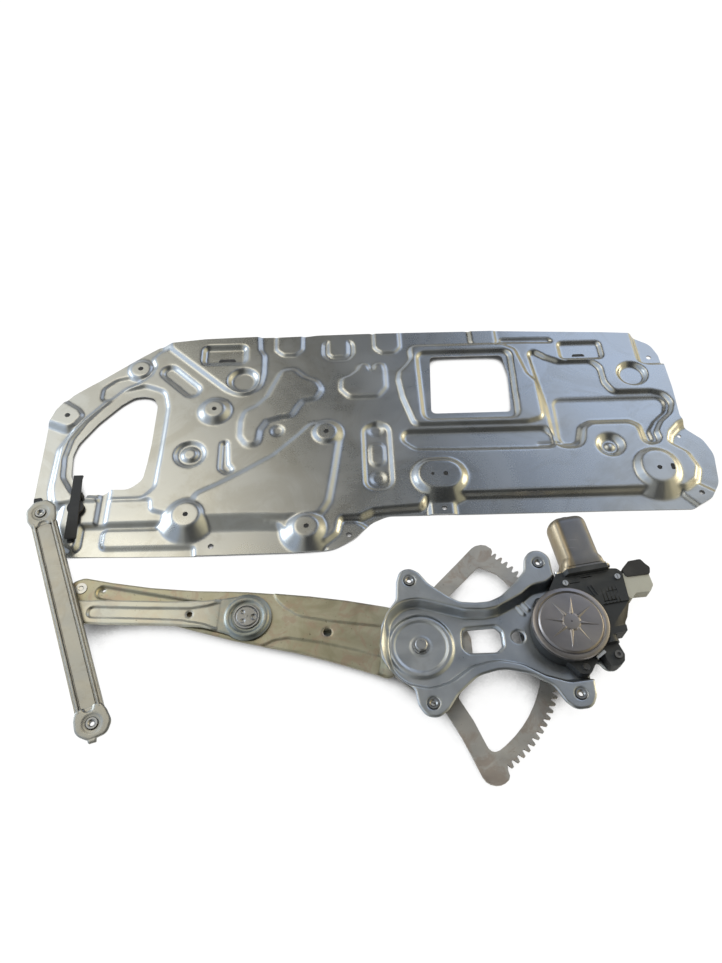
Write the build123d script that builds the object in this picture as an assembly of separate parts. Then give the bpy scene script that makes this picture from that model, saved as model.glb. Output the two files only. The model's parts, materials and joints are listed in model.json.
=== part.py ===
from build123d import *
import os
from math import cos, sin, tan, atan2, hypot, pi, radians, degrees, sqrt

# Window regulator set: cross-arm lifter, its guide rail and the door carrier panel, laid out
# side by side on a flat surface. Millimetres, X right, Y away from the viewer, Z up.

# ---- layout, measured on the flat surface before the origin is moved
ORIGIN = (12.3, -126.1)          # middle of the outline, becomes x = 0, y = 0
PIVOT = (44.2, -290.4)           # main pivot of the lift arm
ARM_ANGLE = 167.4                # lift arm direction, degrees
ARM_LENGTH = 375.0               # main pivot to lift roller
MID_LENGTH = 187.5               # main pivot to middle pivot
EQ_ANGLE = 176.3                 # equaliser, direction of the rail half
EQ_RAIL = 193.0                  # middle pivot to rail stud
EQ_GLASS = 187.5                 # middle pivot to glass roller
RAIL_ANGLE = -68.4               # guide rail direction
RAIL_HOLES = 262.0               # distance between the rail nuts
RAIL_UP = 128.0                  # upper rail nut to the shoe
PINION_ANGLE = 4.44              # direction of the pinion from the pivot
MOTOR_ANGLE = 8.8                # motor axis, turned from +Y

# ---- gears
MODULE = 2.5
SECTOR_TEETH = 115               # full circle equivalent
PINION_TEETH = 9
CENTRES = MODULE * (SECTOR_TEETH + PINION_TEETH) / 2
WORM_MODULE = 1.0
WHEEL_TEETH = 62
WORM_R = 5.2
WORM_OFFSET = WORM_MODULE * WHEEL_TEETH / 2 + WORM_R

# ---- heights
SHEET = 1.2                      # panel sheet
PLATE = 1.8                      # base plate sheet
EAR_Z = 40.0                     # top of the base plate ears
FLOOR_Z = 26.0                   # top of the sunk base plate floor
SECTOR_Z, SECTOR_T = 13.5, 3.0
ARM_T = 2.4
HUB_Z = SECTOR_Z + SECTOR_T      # lift arm underside at the hub
ARM_Z = 19.0                     # lift arm underside away from the hub
EQ_T = 2.0
EQ_TOP_Z, EQ_END_Z = 22.0, 23.5  # rail half underside, at the hub and beyond its joggle
EQ_LOW_Z = 8.5                   # glass half underside at its end
RAIL_Z, RAIL_H, RAIL_W, RAIL_T = 26.5, 10.0, 27.5, 1.6
WORM_Z = 38.0
RUN = 0.05                       # running clearance on a radius
NUT_R, NUT_ACROSS, NUT_DEEP, NUT_PROUD, THREAD_R = 5.6, 13.0, 2.2, 0.7, 2.5   # M6 weld nuts
NUT_SINK, NUT_MOUTH = 1.2, 3.9   # lead-in of the nuts: depth, radius at the top


def polar(origin, angle, length):
    a = radians(angle)
    return (origin[0] + length * cos(a), origin[1] + length * sin(a))


MID = polar(PIVOT, ARM_ANGLE, MID_LENGTH)
TIP = polar(PIVOT, ARM_ANGLE, ARM_LENGTH)
RAIL_STUD = polar(MID, EQ_ANGLE, EQ_RAIL)
GLASS_STUD = polar(MID, EQ_ANGLE + 180, EQ_GLASS)
RAIL_TOP = polar(RAIL_STUD, RAIL_ANGLE + 180, RAIL_UP)
RAIL_END = polar(RAIL_TOP, RAIL_ANGLE, RAIL_HOLES)
GEAR = polar(PIVOT, PINION_ANGLE, CENTRES)


def turned_left(points):
    """The same closed outline, counter-clockwise, so that every face looks up."""
    area = sum(points[i - 1][0] * p[1] - p[0] * points[i - 1][1] for i, p in enumerate(points))
    return points if area > 0 else points[::-1]


def outline(points, r=4.0):
    """Closed face through the points; every corner is rounded by r or by its own third value."""
    points = turned_left(points)
    n = len(points)
    knots = []
    for i, p in enumerate(points):
        a, b = points[i - 1], points[(i + 1) % n]
        rad = p[2] if len(p) > 2 else r
        u = (a[0] - p[0], a[1] - p[1])
        v = (b[0] - p[0], b[1] - p[1])
        lu, lv = hypot(*u), hypot(*v)
        u = (u[0] / lu, u[1] / lu)
        v = (v[0] / lv, v[1] / lv)
        c = max(-1.0, min(1.0, u[0] * v[0] + u[1] * v[1]))
        half = atan2(sqrt(1 - c * c), c) / 2
        if rad <= 0.01 or half > pi / 2 - 0.02:
            knots.append((p[:2], None, p[:2]))
            continue
        reach = min(rad / tan(half), 0.46 * lu, 0.46 * lv)
        rad = reach * tan(half)
        s = (p[0] + u[0] * reach, p[1] + u[1] * reach)
        e = (p[0] + v[0] * reach, p[1] + v[1] * reach)
        w = (u[0] + v[0], u[1] + v[1])
        lw = hypot(*w)
        d = rad / sin(half) - rad
        m = (p[0] + w[0] / lw * d, p[1] + w[1] / lw * d)
        knots.append((s, m, e))
    edges = []
    for i in range(n):
        s, m, e = knots[i]
        if m is not None:
            edges.append(Edge.make_three_point_arc(Vector(*s), Vector(*m), Vector(*e)))
        nxt = knots[(i + 1) % n][0]
        if hypot(nxt[0] - e[0], nxt[1] - e[1]) > 1e-4:
            edges.append(Edge.make_line(Vector(*e), Vector(*nxt)))
    return Face(Wire(edges))


def at(shape, z):
    return Pos(0, 0, z) * shape


def slab(face, z0, z1):
    return extrude(at(face, z0), amount=z1 - z0)


def disc(p, r, z0, z1):
    return Pos(p[0], p[1], (z0 + z1) / 2) * Cylinder(r, z1 - z0)


def ring(p, r_in, r_out, z0, z1):
    return disc(p, r_out, z0, z1) - disc(p, r_in, z0 - 1, z1 + 1)


def cone(p, r0, z0, r1, z1):
    return Pos(p[0], p[1], (z0 + z1) / 2) * Cone(r0, r1, z1 - z0)


def capsule(a, b, r):
    ang = degrees(atan2(b[1] - a[1], b[0] - a[0]))
    p1, p2 = polar(a, ang - 90, r), polar(b, ang - 90, r)
    p3, p4 = polar(b, ang + 90, r), polar(a, ang + 90, r)
    e1, e2 = polar(b, ang, r), polar(a, ang + 180, r)
    return Face(Wire([
        Edge.make_line(Vector(*p1), Vector(*p2)),
        Edge.make_three_point_arc(Vector(*p2), Vector(*e1), Vector(*p3)),
        Edge.make_line(Vector(*p3), Vector(*p4)),
        Edge.make_three_point_arc(Vector(*p4), Vector(*e2), Vector(*p1))]))


def hexagon(p, across, z0, z1, turn=0.0):
    return Pos(p[0], p[1], z0) * Rot(0, 0, turn) * extrude(RegularPolygon(across / sqrt(3), 6), amount=z1 - z0)


def rise(face, z, slope, depth):
    """Frustum with its top at z, walls leaning out by slope degrees from the vertical, going down."""
    return extrude(at(face, z), amount=depth, dir=(0, 0, -1), taper=-slope)


def sink(face, z, slope, height):
    """Inverted frustum with its floor at z, walls leaning out going up."""
    return extrude(at(face, z), amount=height, dir=(0, 0, 1), taper=-slope)


def round_face(p, r):
    return Pos(p[0], p[1], 0) * Face(Wire([Edge.make_circle(r)]))


PARTS = {}


def keep(name, *solids):
    shapes = []
    for s in solids:
        shapes.extend(s.solids() if hasattr(s, "solids") else [s])
    PARTS[name] = shapes


# ---------------------------------------------------------------- door carrier panel
PANEL_OUTLINE = [
    (-408.3, 5), (-409.4, 36), (-406, 44), (-402, 58), (-393, 72), (-383, 84), (-368, 96),
    (-348, 111), (-320.6, 133.5), (-300, 150), (-280, 164.7, 10), (-262, 168, 10), (-217, 173),
    (-151, 175), (-122, 175, 1), (-119, 173, 1), (-84, 174, 1), (-62, 177), (10, 178), (14, 176, 1),
    (48, 176, 1), (52, 178, 1), (142, 177.5), (147, 176, 1), (183, 176, 1), (187, 177, 1),
    (268, 173), (333, 170), (373.5, 167, 20), (399, 151, 20), (405.8, 131, 20), (406.3, 66),
    (403.8, 19.5), (409, 3, 20), (427, -15, 20), (434.6, -38, 30), (428.4, -82, 30),
    (412.8, -104, 12), (387, -118, 12), (303, -117), (121, -116), (20, -115, 30), (0, -124, 30),
    (-20, -146, 30), (-45, -159.5, 30), (-75, -162, 30), (-200, -162), (-282, -160),
    (-355, -157.5, 14), (-375, -143, 14), (-398, -107, 20), (-406, -80, 20)]

# (kind, height, wall slope, corner radius, outline). "up" raises the sheet to that height,
# "down" sinks it. Heights are of the visible side; the flange is at SHEET.
BODY_Z = 9.2
RELIEF = [
    ("up", 4.7, 45, 8, [(-414, 40), (-384, 26), (-366, 30), (-345, 62), (-322, 92), (-285, 112),
                        (-262, 150), (-262, 190), (-300, 190), (-420, 90)]),
    ("up", 3.9, 45, 5, [(-314, -125), (-205, -126), (-196, -120), (-100, -121), (-62, -150),
                        (-62, -185), (-203, -185), (-206, -149), (-314, -148)]),
    ("up", 6.6, 45, 5, [(-366, -84), (-232, -84), (-232, -116), (-345, -116), (-345, -150),
                        (-358, -146), (-368, -118)]),
    ("up", BODY_Z, 38, 7, [
        (-378, -88), (-384, -66), (-384, -4), (-374, 18), (-362, 38), (-344, 60), (-318, 92),
        (-296, 101), (-284, 112), (-279, 128), (-285, 142), (-276, 153), (-262, 160), (-262, 195),
        (372, 195), (372, 114), (384, 109), (420, 109), (420, 18), (398, 8), (384, -6), (378, -22),
        (398, -38), (405, -60), (398, -78), (384, -88), (100, -88), (66, -92), (60, -104),
        (24, -106), (2, -108), (-14, -116), (-38, -117), (-42, -138), (-56, -150), (-90, -146),
        (-110, -124), (-140, -118), (-200, -118), (-262, -100), (-262, -84), (-352, -84)]),
    ("up", 11.7, 40, 12, [(-262, 195), (-262, 161), (-182, 84), (-163, 73, 24), (-140, 84, 20),
                          (-136, 108), (-136, 140), (-142, 150), (-145, 195)]),
    ("down", 6.2, 40, 14, [
        (-262, -68), (-259, 0), (-258, 56), (-264, 82), (-290, 93), (-318, 86), (-343, 58),
        (-360, 34), (-372, 8), (-376, -20), (-373, -50), (-356, -76), (-312, -82), (-275, -82)]),
    ("down", 4.2, 45, 4, [(-324, -150), (-324, -74), (-315, -66), (-315, -150)]),
    ("up", 12.4, 45, 10, [
        (-212, -86), (-184, -72), (-150, -52), (-116, -30), (-82, 4), (-70, 18), (-44, 18),
        (-38, 2), (-41, -20), (-47, -60), (-53, -96), (-62, -112), (-100, -114), (-140, -112),
        (-200, -112)]),
    ("up", 11.7, 50, 7, [
        (-108, 110), (-117, 88), (-126, 66), (-140, 50), (-154, 42), (-158, 28), (-158, 4),
        (-150, -8), (-141, -6), (-139, 14), (-130, 30), (-112, 36), (-98, 38), (-91, 52),
        (-84, 62), (-66, 66), (-60, 78), (-66, 90), (-82, 98), (-95, 112)]),
    ("up", 11.4, 50, 6, [
        (-30, 78), (-29, 94), (-18, 99), (-8, 108), (-3, 119), (4, 118), (5, 108), (14, 106),
        (16, 119), (24, 120), (26, 108), (26, 80), (16, 66), (-20, 66)]),
    ("down", 6.4, 40, 12, [(-4, 18), (27, 18), (27, -80), (-4, -80)]),
    ("up", 7.9, 40, 7, [(3, -12), (20, -12), (20, -44), (3, -44)]),
    ("down", 5.2, 45, 8, [(46, -8), (48, 4), (226, 4), (234, -6), (234, -23), (120, -22),
                          (60, -20)]),
    ("down", 5.2, 40, 12, [
        (236, 44), (230, 100), (226, 142), (246, 126), (264, 117), (308, 117), (317, 106),
        (317, 80), (326, 61), (376, 61), (392, 56), (398, 42), (392, 26), (376, 12), (366, -4),
        (369, -20), (350, -24), (348, 6), (336, 13), (288, 13), (276, 6), (268, -24), (238, -24)]),
    ("down", 3.4, 40, 9, [
        (246, 53), (384, 53), (391, 44), (386, 29), (369, 14), (358, -2), (360, -18), (354, -18),
        (352, 10), (340, 18), (286, 18), (272, 10), (264, -18), (244, -18)]),
    ("up", 12.6, 40, 8, [
        (64, 150), (66, 128), (58, 116), (48, 104), (46, 92), (50, 60), (62, 16), (206, 16),
        (226, 22), (226, 82), (216, 96), (206, 140), (190, 150)]),
    ("down", 9.0, 40, 9, [(74, 137), (198, 137), (194, 23), (75, 23)]),
    ("up", 11.2, 40, 8, [(-118, 195), (-118, 150), (-108, 141), (-92, 141), (-83, 150), (-83, 195)]),
    ("up", 11.2, 40, 8, [(16, 195), (16, 150), (25, 141), (42, 141), (50, 150), (50, 195)]),
    ("up", 11.2, 40, 8, [(149, 195), (149, 155), (158, 146), (173, 146), (183, 155), (183, 195)]),
    ("down", 7.4, 40, 9, [(-54, 165), (-54, 140), (-46, 130), (-22, 130), (-14, 140), (-14, 165)]),
    ("up", BODY_Z, 40, 6, [(-47, 178), (-47, 142), (-42, 137), (-26, 137), (-21, 142), (-21, 178)]),
    ("down", 7.0, 45, 4, [(-214, 156), (-162, 156), (-162, 130), (-214, 130)]),
    ("down", 5.8, 40, 4, [(270, 151), (324, 151), (324, 124), (270, 124)]),
    ("down", 7.4, 40, 3, [(190, 161), (256, 160), (262, 154), (190, 156)]),
    ("up", 3.9, 45, 4, [(72, -98), (100, -98), (100, -130), (72, -130)]),
    ("up", 3.9, 45, 4, [(-200, -132), (-172, -132), (-172, -175), (-200, -175)]),
    ("up", 4.4, 45, 8, [(-52, -134), (-40, -124), (-18, -124), (-4, -134), (-30, -175), (-54, -165)]),
    ("up", 3.9, 45, 6, [(378, -95), (394, -78), (440, -110), (410, -130)]),
    ("down", 2.9, 45, 10, [(-346, 74), (-346, 94), (-330, 108), (-314, 112), (-296, 106), (-318, 94),
                           (-336, 74)]),
    ("up", 7.2, 45, 6, [(-412, 42), (-384, 30), (-376, 34), (-367, 48), (-374, 58), (-394, 72),
                        (-420, 70)]),
    ("down", 6.0, 45, 3, [(-182, -6), (-178, -4), (-175, -38), (-168, -47), (-175, -50), (-182, -44)]),
]
STRAP_Z = BODY_Z + 0.3           # underside of the rubber strap, just clear of the sheet
PAD_Z = 15.2
REG_PADS = [((-195.5, 46.2), 13.0), ((-218.3, -112.4), 16.5), ((-51.8, 4.6), 13.0), ((-76.6, -133.2), 14.5)]
RAIL_PADS = [((93.0, -65.0), (-14.0, 0.0), 20.0), ((355.0, -65.0), (0.0, 5.0), 21.0)]
D_OPENING = [
    (-274, -30), (-272, 0), (-271, 60), (-277, 74, 10), (-290, 77, 14), (-303, 76, 14), (-318, 64),
    (-344, 34), (-364, 2, 20), (-368, -16, 20), (-365, -48, 16), (-354, -68, 12), (-342, -76, 4),
    (-322, -76, 4), (-314, -69, 4), (-292, -70, 20), (-277, -56, 16)]
WINDOW = [(90, 132), (188, 132), (192, 100), (188, 33), (84, 33)]
PERIMETER_HOLES = [(-301, 125.5), (-386, 48.5), (-187.5, -150.5), (-27, -140.5), (88.5, -107.0),
                   (392, 127.5), (398.5, -8.5), (402.5, -96.0)]


def door_panel():
    """One pressed sheet: the relief solid minus the same solid dropped by the sheet thickness."""
    deep = 14.0
    solid = Pos(12, 10, (SHEET - deep) / 2) * Box(960, 460, SHEET + deep)
    for kind, z, slope, r, pts in RELIEF:
        face = outline(pts, r)
        if kind == "up":
            solid = solid + rise(face, z, slope, z + 2)
        else:
            solid = solid - sink(face, z, slope, 22 - z)
    solid = solid + cone((-301, 125.5), 21, 1.0, 14, 7.6)
    solid = solid - sink(capsule((-260, 116), (-228, 84), 8), 5.4, 50, 14)
    solid = solid - sink(round_face((-161, 97), 16), 6.6, 40, 14)
    solid = solid - sink(round_face((359, 93), 17), 3.6, 25, 14)
    for p, r in REG_PADS:
        solid = solid + cone(p, r + 20, PAD_Z - 13.0, r, PAD_Z)
    for p, shift, r in RAIL_PADS:
        half = capsule(p, (p[0] + shift[0], p[1] + shift[1]), r)
        solid = solid + rise(half, PAD_Z, 52, 13.0)
    solid = solid - sink(round_face((305, -24), 11), 3.6, 52, 14)
    solid = solid + cone((305, -24), 7, 2.0, 4.5, 5.6)
    c_recess = sink(round_face((-222, -21), 17), 6.4, 40, 14)
    c_recess -= cone((-222, -21), 12.4, 5.0, 5, 12.4)
    solid = solid - c_recess
    solid = solid - sink(round_face((-114, 12), 7), 8.0, 45, 14)
    solid = solid - sink(round_face((11, 10), 8), 5.2, 45, 2.4)
    solid = solid - sink(round_face((11, -64), 8), 5.2, 45, 2.4)
    sheet = solid - Pos(0, 0, -SHEET) * solid
    edge = slab(outline(PANEL_OUTLINE, 8), -2, 30)
    edge -= slab(outline(D_OPENING, 6), -3, 31)
    edge -= slab(outline(WINDOW, 6), -3, 31)
    for p in PERIMETER_HOLES[:6] + PERIMETER_HOLES[7:]:
        edge -= disc(p, 3.6, -3, 31)
    edge -= disc(PERIMETER_HOLES[6], 2.8, -3, 31)
    for p, r in REG_PADS:
        edge -= disc(p, 3.25, -3, 31)
    for p, shift, r in RAIL_PADS:
        edge -= disc(p, 3.25, -3, 31)
    edge -= disc((77, -65), 2.2, -3, 31)
    edge -= slab(outline([(369, -69), (374, -69), (374, -60), (369, -60)], 1), -3, 31)
    edge -= slab(outline([(-198, 133), (-172, 133), (-175, 139), (-195, 139)], 1), -3, 31)
    edge -= slab(outline([(284, 128), (304, 128), (301, 133), (287, 133)], 1), -3, 31)
    edge -= slab(outline([(-116, 10), (-112, 10), (-112, 14), (-116, 14)], 0.5), -3, 31)
    edge -= slab(outline([(9, 8), (13, 8), (13, 12), (9, 12)], 0.5), -3, 31)
    edge -= slab(outline([(10, -68), (12.5, -68), (12.5, -60), (10, -60)], 0.5), -3, 31)
    edge -= slab(outline([(-357.5, -70), (-341, -72), (-341, -85), (-357, -85)], 1), -3, 31)
    return max((sheet & edge).solids(), key=lambda s: s.volume)


# ---------------------------------------------------------------- base plate
EARS = [(36.1, -220.5), (178.0, -203.8), (197.2, -350.0), (50.8, -354.6)]
PLATE_OUTLINE = [
    (1.2, -292), (3.8, -271), (10, -257), (20.3, -242.7), (21.8, -222, 14), (26, -209, 14),
    (37, -205.2, 14), (47, -211, 14), (56, -224, 20), (77, -240.5), (88, -247, 16), (105, -248.5),
    (119, -247.6, 20), (132, -242, 20), (150, -226, 20), (161, -213, 12), (163.4, -198, 14),
    (171, -189, 14), (183, -188.2, 14), (191.5, -197, 12), (192, -217, 4), (214, -240, 14),
    (232, -256, 14), (237, -282, 20), (234, -296, 6), (247, -312, 8), (244, -323, 8),
    (232, -323, 8), (224, -312, 10), (214, -322, 14), (213, -352, 14), (207, -364, 14),
    (190, -365.5, 14), (181, -357, 14), (172, -341, 14), (150, -327.5, 30), (124, -321.5, 40),
    (98, -328, 30), (76, -347, 14), (66, -361, 14), (55, -369, 14), (43, -367, 14), (36, -356, 14),
    (33.5, -339, 10), (20, -328), (8, -316), (2.5, -306)]
PLATE_FLOOR = [
    (10.5, -290, 30), (13, -262, 30), (27, -249, 30), (43, -246.5, 30), (60, -251, 30), (91, -260.5, 30),
    (113, -261.5, 40), (128, -259, 30), (157, -244, 30), (169, -234.5, 16), (184, -231.5, 8),
    (193, -226, 6), (200, -218, 6), (200, -196, 4), (262, -196, 4), (262, -332, 4), (222, -330, 6), (190, -333, 10),
    (168, -326, 20), (146, -313, 30), (120, -307.5, 40), (92, -314.5, 30), (70, -329.5, 20),
    (50, -335.5, 30), (27, -329.5, 30), (13, -316, 30)]
PLATE_SLOT = [(90, -273), (124, -271), (129.5, -277), (129.5, -292), (123, -298), (94, -298), (89, -292)]
PLATE_WALL = 19.0
RIVET_SKIN = 0.6                 # sheet left over the support's studs, which don't show from above


def base_plate():
    floor = outline(PLATE_FLOOR, 10)
    low = outline(PLATE_FLOOR, 10)
    tub_out = extrude(at(offset(low, amount=1.15), FLOOR_Z - PLATE), amount=EAR_Z - FLOOR_Z + PLATE,
                      taper=-PLATE_WALL)
    tub_in = extrude(at(floor, FLOOR_Z), amount=EAR_Z - FLOOR_Z + 6, taper=-PLATE_WALL)
    rim = Pos(120, -280, EAR_Z - PLATE / 2) * Box(320, 240, PLATE)
    body = rim + tub_out - tub_in
    body += cone(PIVOT, 35.5, FLOOR_Z - 0.5, 33.0, FLOOR_Z + 2.0)
    body -= cone(PIVOT, 27.0, FLOOR_Z + 1.0, 28.4, FLOOR_Z + 2.4)
    body -= cone(PIVOT, 34.6, FLOOR_Z - PLATE - 1.5, 31.6, FLOOR_Z - PLATE + 2.0)
    body += disc(PIVOT, 28.2, FLOOR_Z - PLATE + 1.0, FLOOR_Z + 1.0)
    for a in (outline(PLATE_SLOT, 5), ):
        lip = offset(a, amount=PLATE)
        body += extrude(at(lip, FLOOR_Z - 3.6), amount=3.0)
        body -= slab(a, FLOOR_Z - 6, FLOOR_Z + 4)
    body -= disc((147, -283), 7.0, 15, 35)
    body -= disc(PIVOT, 6.0 + RUN, 15, 35)
    for i in range(3):
        q = (154.5 + 4.6 * i, -251 + 4.2 * i)
        body += slab(capsule(polar(q, 118, 5), polar(q, -62, 5), 1.1), FLOOR_Z - 0.4, FLOOR_Z + 1.0)
    body -= disc(GEAR, 16.0, 15, 35)
    for p in EARS:
        body -= disc(p, NUT_R, 30, 45)
    for p in MOUNT_POINTS:
        body -= disc(p, 2.6, 15, 35)
    for q in BRACKET_POINTS:
        body -= disc(q, 2.0, 15, FLOOR_Z - RIVET_SKIN)
    body -= in_motor(slab(outline([(1.5, 40), (76, 40), (76, 60), (1.5, 57)], 3), FLOOR_Z + 0.02, 50))
    body -= in_motor(slab(outline([(4.6, 56.6), (76, 56.6), (76, 90), (10.9, 90), (10.9, 62.6), (4.6, 62.6)], 0.5),
                          15, 50))
    body = body & slab(outline(PLATE_OUTLINE, 12), 15, 45)
    return max(body.solids(), key=lambda s: s.volume)


# ---------------------------------------------------------------- motor frame
def motor(a, b):
    """Point of the motor frame (a across the motor axis, b along it) in the layout frame."""
    t = radians(MOTOR_ANGLE)
    return (GEAR[0] + a * cos(t) - b * sin(t), GEAR[1] + a * sin(t) + b * cos(t))


def in_motor(shape):
    return Pos(GEAR[0], GEAR[1], 0) * Rot(0, 0, MOTOR_ANGLE) * shape


def along(a, z, b0, b1, r):
    """Cylinder along the motor axis direction, in the motor frame."""
    return Pos(a, (b0 + b1) / 2, z) * Rot(90, 0, 0) * Cylinder(r, b1 - b0)


MOUNT_MOTOR = [(38.5, -39.4), (3.0, -44.6), (-20.0, 33.0)]
MOUNT_POINTS = [motor(*p) for p in MOUNT_MOTOR]
BRACKET_POINTS = [polar(PIVOT, -3.0, 117.0), polar(PIVOT, 12.0, 117.0)]


# ---------------------------------------------------------------- gears
def gear_teeth(teeth, module, r_tip, r_root, first=0, last=None, turn=0.0):
    """Points of straight-flanked teeth round the origin, from tooth index first to last."""
    last = teeth if last is None else last
    pitch = 360.0 / teeth
    r_pitch = module * teeth / 2
    pts = []
    for i in range(first, last):
        c = turn + i * pitch
        for r, half in ((r_root, 0.335), (r_pitch, 0.236), (r_tip, 0.115)):
            pts.append((r, c - half * pitch))
        for r, half in ((r_tip, 0.115), (r_pitch, 0.236), (r_root, 0.335)):
            pts.append((r, c + half * pitch))
    return [polar((0, 0), a, r) for r, a in pts]


def face_of(points):
    return Face(Wire.make_polygon([Vector(*p) for p in turned_left(points)], close=True))


SECTOR_R = MODULE * SECTOR_TEETH / 2
SECTOR_FIRST, SECTOR_LAST = -20, 15


def sector_gear():
    pitch = 360.0 / SECTOR_TEETH
    # a tooth gap of the sector lies on the line of centres
    turn = PINION_ANGLE + pitch / 2
    root = SECTOR_R - 1.25 * MODULE
    teeth = gear_teeth(SECTOR_TEETH, MODULE, SECTOR_R + 0.95 * MODULE, root, SECTOR_FIRST, SECTOR_LAST, turn)
    upper = [polar((0, 0), a, r) for r, a in (
        (146.0, 51.6), (148.6, 52.8), (149.0, 55.5), (146.8, 57.6), (142.0, 59.6), (137.0, 60.6),
        (111.0, 64.3), (77.0, 73.6))]
    hub = [polar((0, 0), a, 40.0) for a in (95, 120, 145, 168, 190, 215, 240)]
    lower = [polar((0, 0), a, r) for r, a in (
        (69.5, -72.6), (98.0, -69.5), (125.0, -69.0), (139.0, -68.9), (144.3, -68.4), (148.3, -67.3),
        (151.5, -65.7), (153.2, -64.0), (153.6, -62.3), (152.9, -60.6), (150.4, -59.5), (145.8, -58.9))]
    body = face_of(teeth + upper + hub + lower)
    rim = [(126.5, a) for a in range(-53, 49, 6)]
    window = outline([polar((0, 0), a, r) for r, a in (
        [(121.0, 52.9), (71.0, 59.5), (58.0, 40.0), (56.0, 12.0), (56.0, -12.0), (58.0, -36.0),
         (62.0, -56.2), (90.0, -57.9), (111.8, -59.9), (118.6, -60.3), (122.8, -59.8), (125.3, -58.5),
         (126.4, -56.6)] + rim)], 4)
    g = slab(body, 0, SECTOR_T) - slab(window, -1, SECTOR_T + 1)
    g -= disc((0, 0), 8.0, -1, SECTOR_T + 1)
    for a in ARM_RIVETS:
        g -= disc(polar((0, 0), a, RIVET_R), 3.0, -1, SECTOR_T + 1)
    return Pos(PIVOT[0], PIVOT[1], SECTOR_Z) * g


RIVET_R = 27.0
ARM_RIVETS = [125.0, 205.0, 285.0, 20.0]


# ---------------------------------------------------------------- lift arm
ARM_PLAN = [  # along the arm from the pivot, across it
    (20, 38), (45, 35), (86, 30.5), (127, 27.5), (167, 27.5), (196, 27), (250, 23), (290, 20),
    (330, 17), (352, 15.5), (380, 15, 10), (388, 8, 10), (387, -6, 10), (376, -13, 12), (345, -13),
    (300, -15), (250, -20.5), (215, -26.5), (195, -29.6), (167, -32.7), (127, -36.6), (86, -39),
    (45, -39.5), (20, -38)]


def arm_frame(shape, angle=None, origin=None):
    o = PIVOT if origin is None else origin
    return Pos(o[0], o[1], 0) * Rot(0, 0, ARM_ANGLE if angle is None else angle) * shape


def side_profile(points, thick, half_width):
    """Sheet bent along its length: (u, z) points of its underside, extruded across."""
    top = [(u, z + thick) for u, z in reversed(points)]
    f = Face(Wire.make_polygon([Vector(u, -half_width, z) for u, z in points + top], close=True))
    return extrude(f, amount=2 * half_width, dir=(0, 1, 0))


def lift_arm():
    plan = slab(outline(ARM_PLAN, 20), 5, 40) + disc((0, 0), 39.0, 5, 40)
    bent = side_profile([(-60, HUB_Z), (34, HUB_Z), (42, ARM_Z), (420, ARM_Z)], ARM_T, 70)
    arm = plan & bent
    band = outline([(46, 16.5, 5), (62, 14.4), (104, 12.8), (138, 14), (150, 18), (157, 25), (157, -26),
                    (148, -19), (133, -12.4), (98, -13), (46, -17, 5)], 16)
    arm += extrude(at(band, ARM_Z + ARM_T - 0.6), amount=2.0, taper=40)
    arm -= extrude(at(offset(band, amount=-1.4), ARM_Z - 1.0), amount=2.3, taper=40)
    groove = outline([(226, 9.5), (300, 7.0), (356, 6.5, 7), (356, -6.5, 7), (300, -7.0), (226, -8.0, 8)], 8)
    arm -= extrude(at(groove, ARM_Z + ARM_T - 1.3), amount=4, taper=-35)
    arm += slab(offset(groove, amount=1.2), ARM_Z - 1.3, ARM_Z + 0.4) - \
        extrude(at(groove, ARM_Z + ARM_T - 1.3), amount=4, taper=-35)
    arm -= disc((0, 0), 8.0, 0, 40)
    arm -= disc((MID_LENGTH, 0), 13.0, 0, 40)
    arm -= disc((ARM_LENGTH, 0), 4.0, 0, 40)
    arm -= disc((99.5, 0), 4.6, 0, 40)
    arm -= disc((351, -3.5), 2.0, 0, 40)
    for a in ARM_RIVETS:
        arm -= disc(polar((0, 0), a - ARM_ANGLE, RIVET_R), 3.0, 0, 40)
    return arm_frame(arm)


# ---------------------------------------------------------------- equaliser arms
def equalizer_rail_half():
    plan = slab(outline([(0, 26), (24, 18.5, 30), (46, 13.6, 30), (80, 12.4), (150, 13.4), (196, 12.5, 10),
                         (207, 7, 8), (207, -7, 8), (196, -12.5, 10), (150, -14.5), (80, -15.0),
                         (46, -17.0, 30), (24, -21, 30), (0, -26)], 8), 10, 40) + disc((0, 0), 26.5, 10, 40)
    arm = plan & side_profile([(-40, EQ_TOP_Z), (30, EQ_TOP_Z), (36, EQ_END_Z), (230, EQ_END_Z)], EQ_T, 40)
    groove = outline([(27, 15.5), (46, 9, 30), (70, 5.6), (110, 5.2), (170, 5.6, 5.6), (170, -5.6, 5.6),
                      (110, -6.0), (62, -7.0), (42, -11, 30), (27, -16.5)], 6)
    arm -= extrude(at(groove, EQ_END_Z + EQ_T - 0.9), amount=4, taper=-35)
    arm += cone((0, 0), 24.0, EQ_TOP_Z + EQ_T - 0.5, 22.5, EQ_TOP_Z + EQ_T + 1.4)
    arm -= cone((0, 0), 17.0, EQ_TOP_Z + EQ_T + 0.2, 18.4, EQ_TOP_Z + EQ_T + 2.0)
    arm -= disc((0, 0), 9.0, 0, 60)
    arm -= disc((EQ_RAIL, 0), 4.0, 0, 60)
    arm -= disc((61.5, -1.0), 3.2, 0, 60)
    return arm_frame(arm, EQ_ANGLE, MID)


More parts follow.
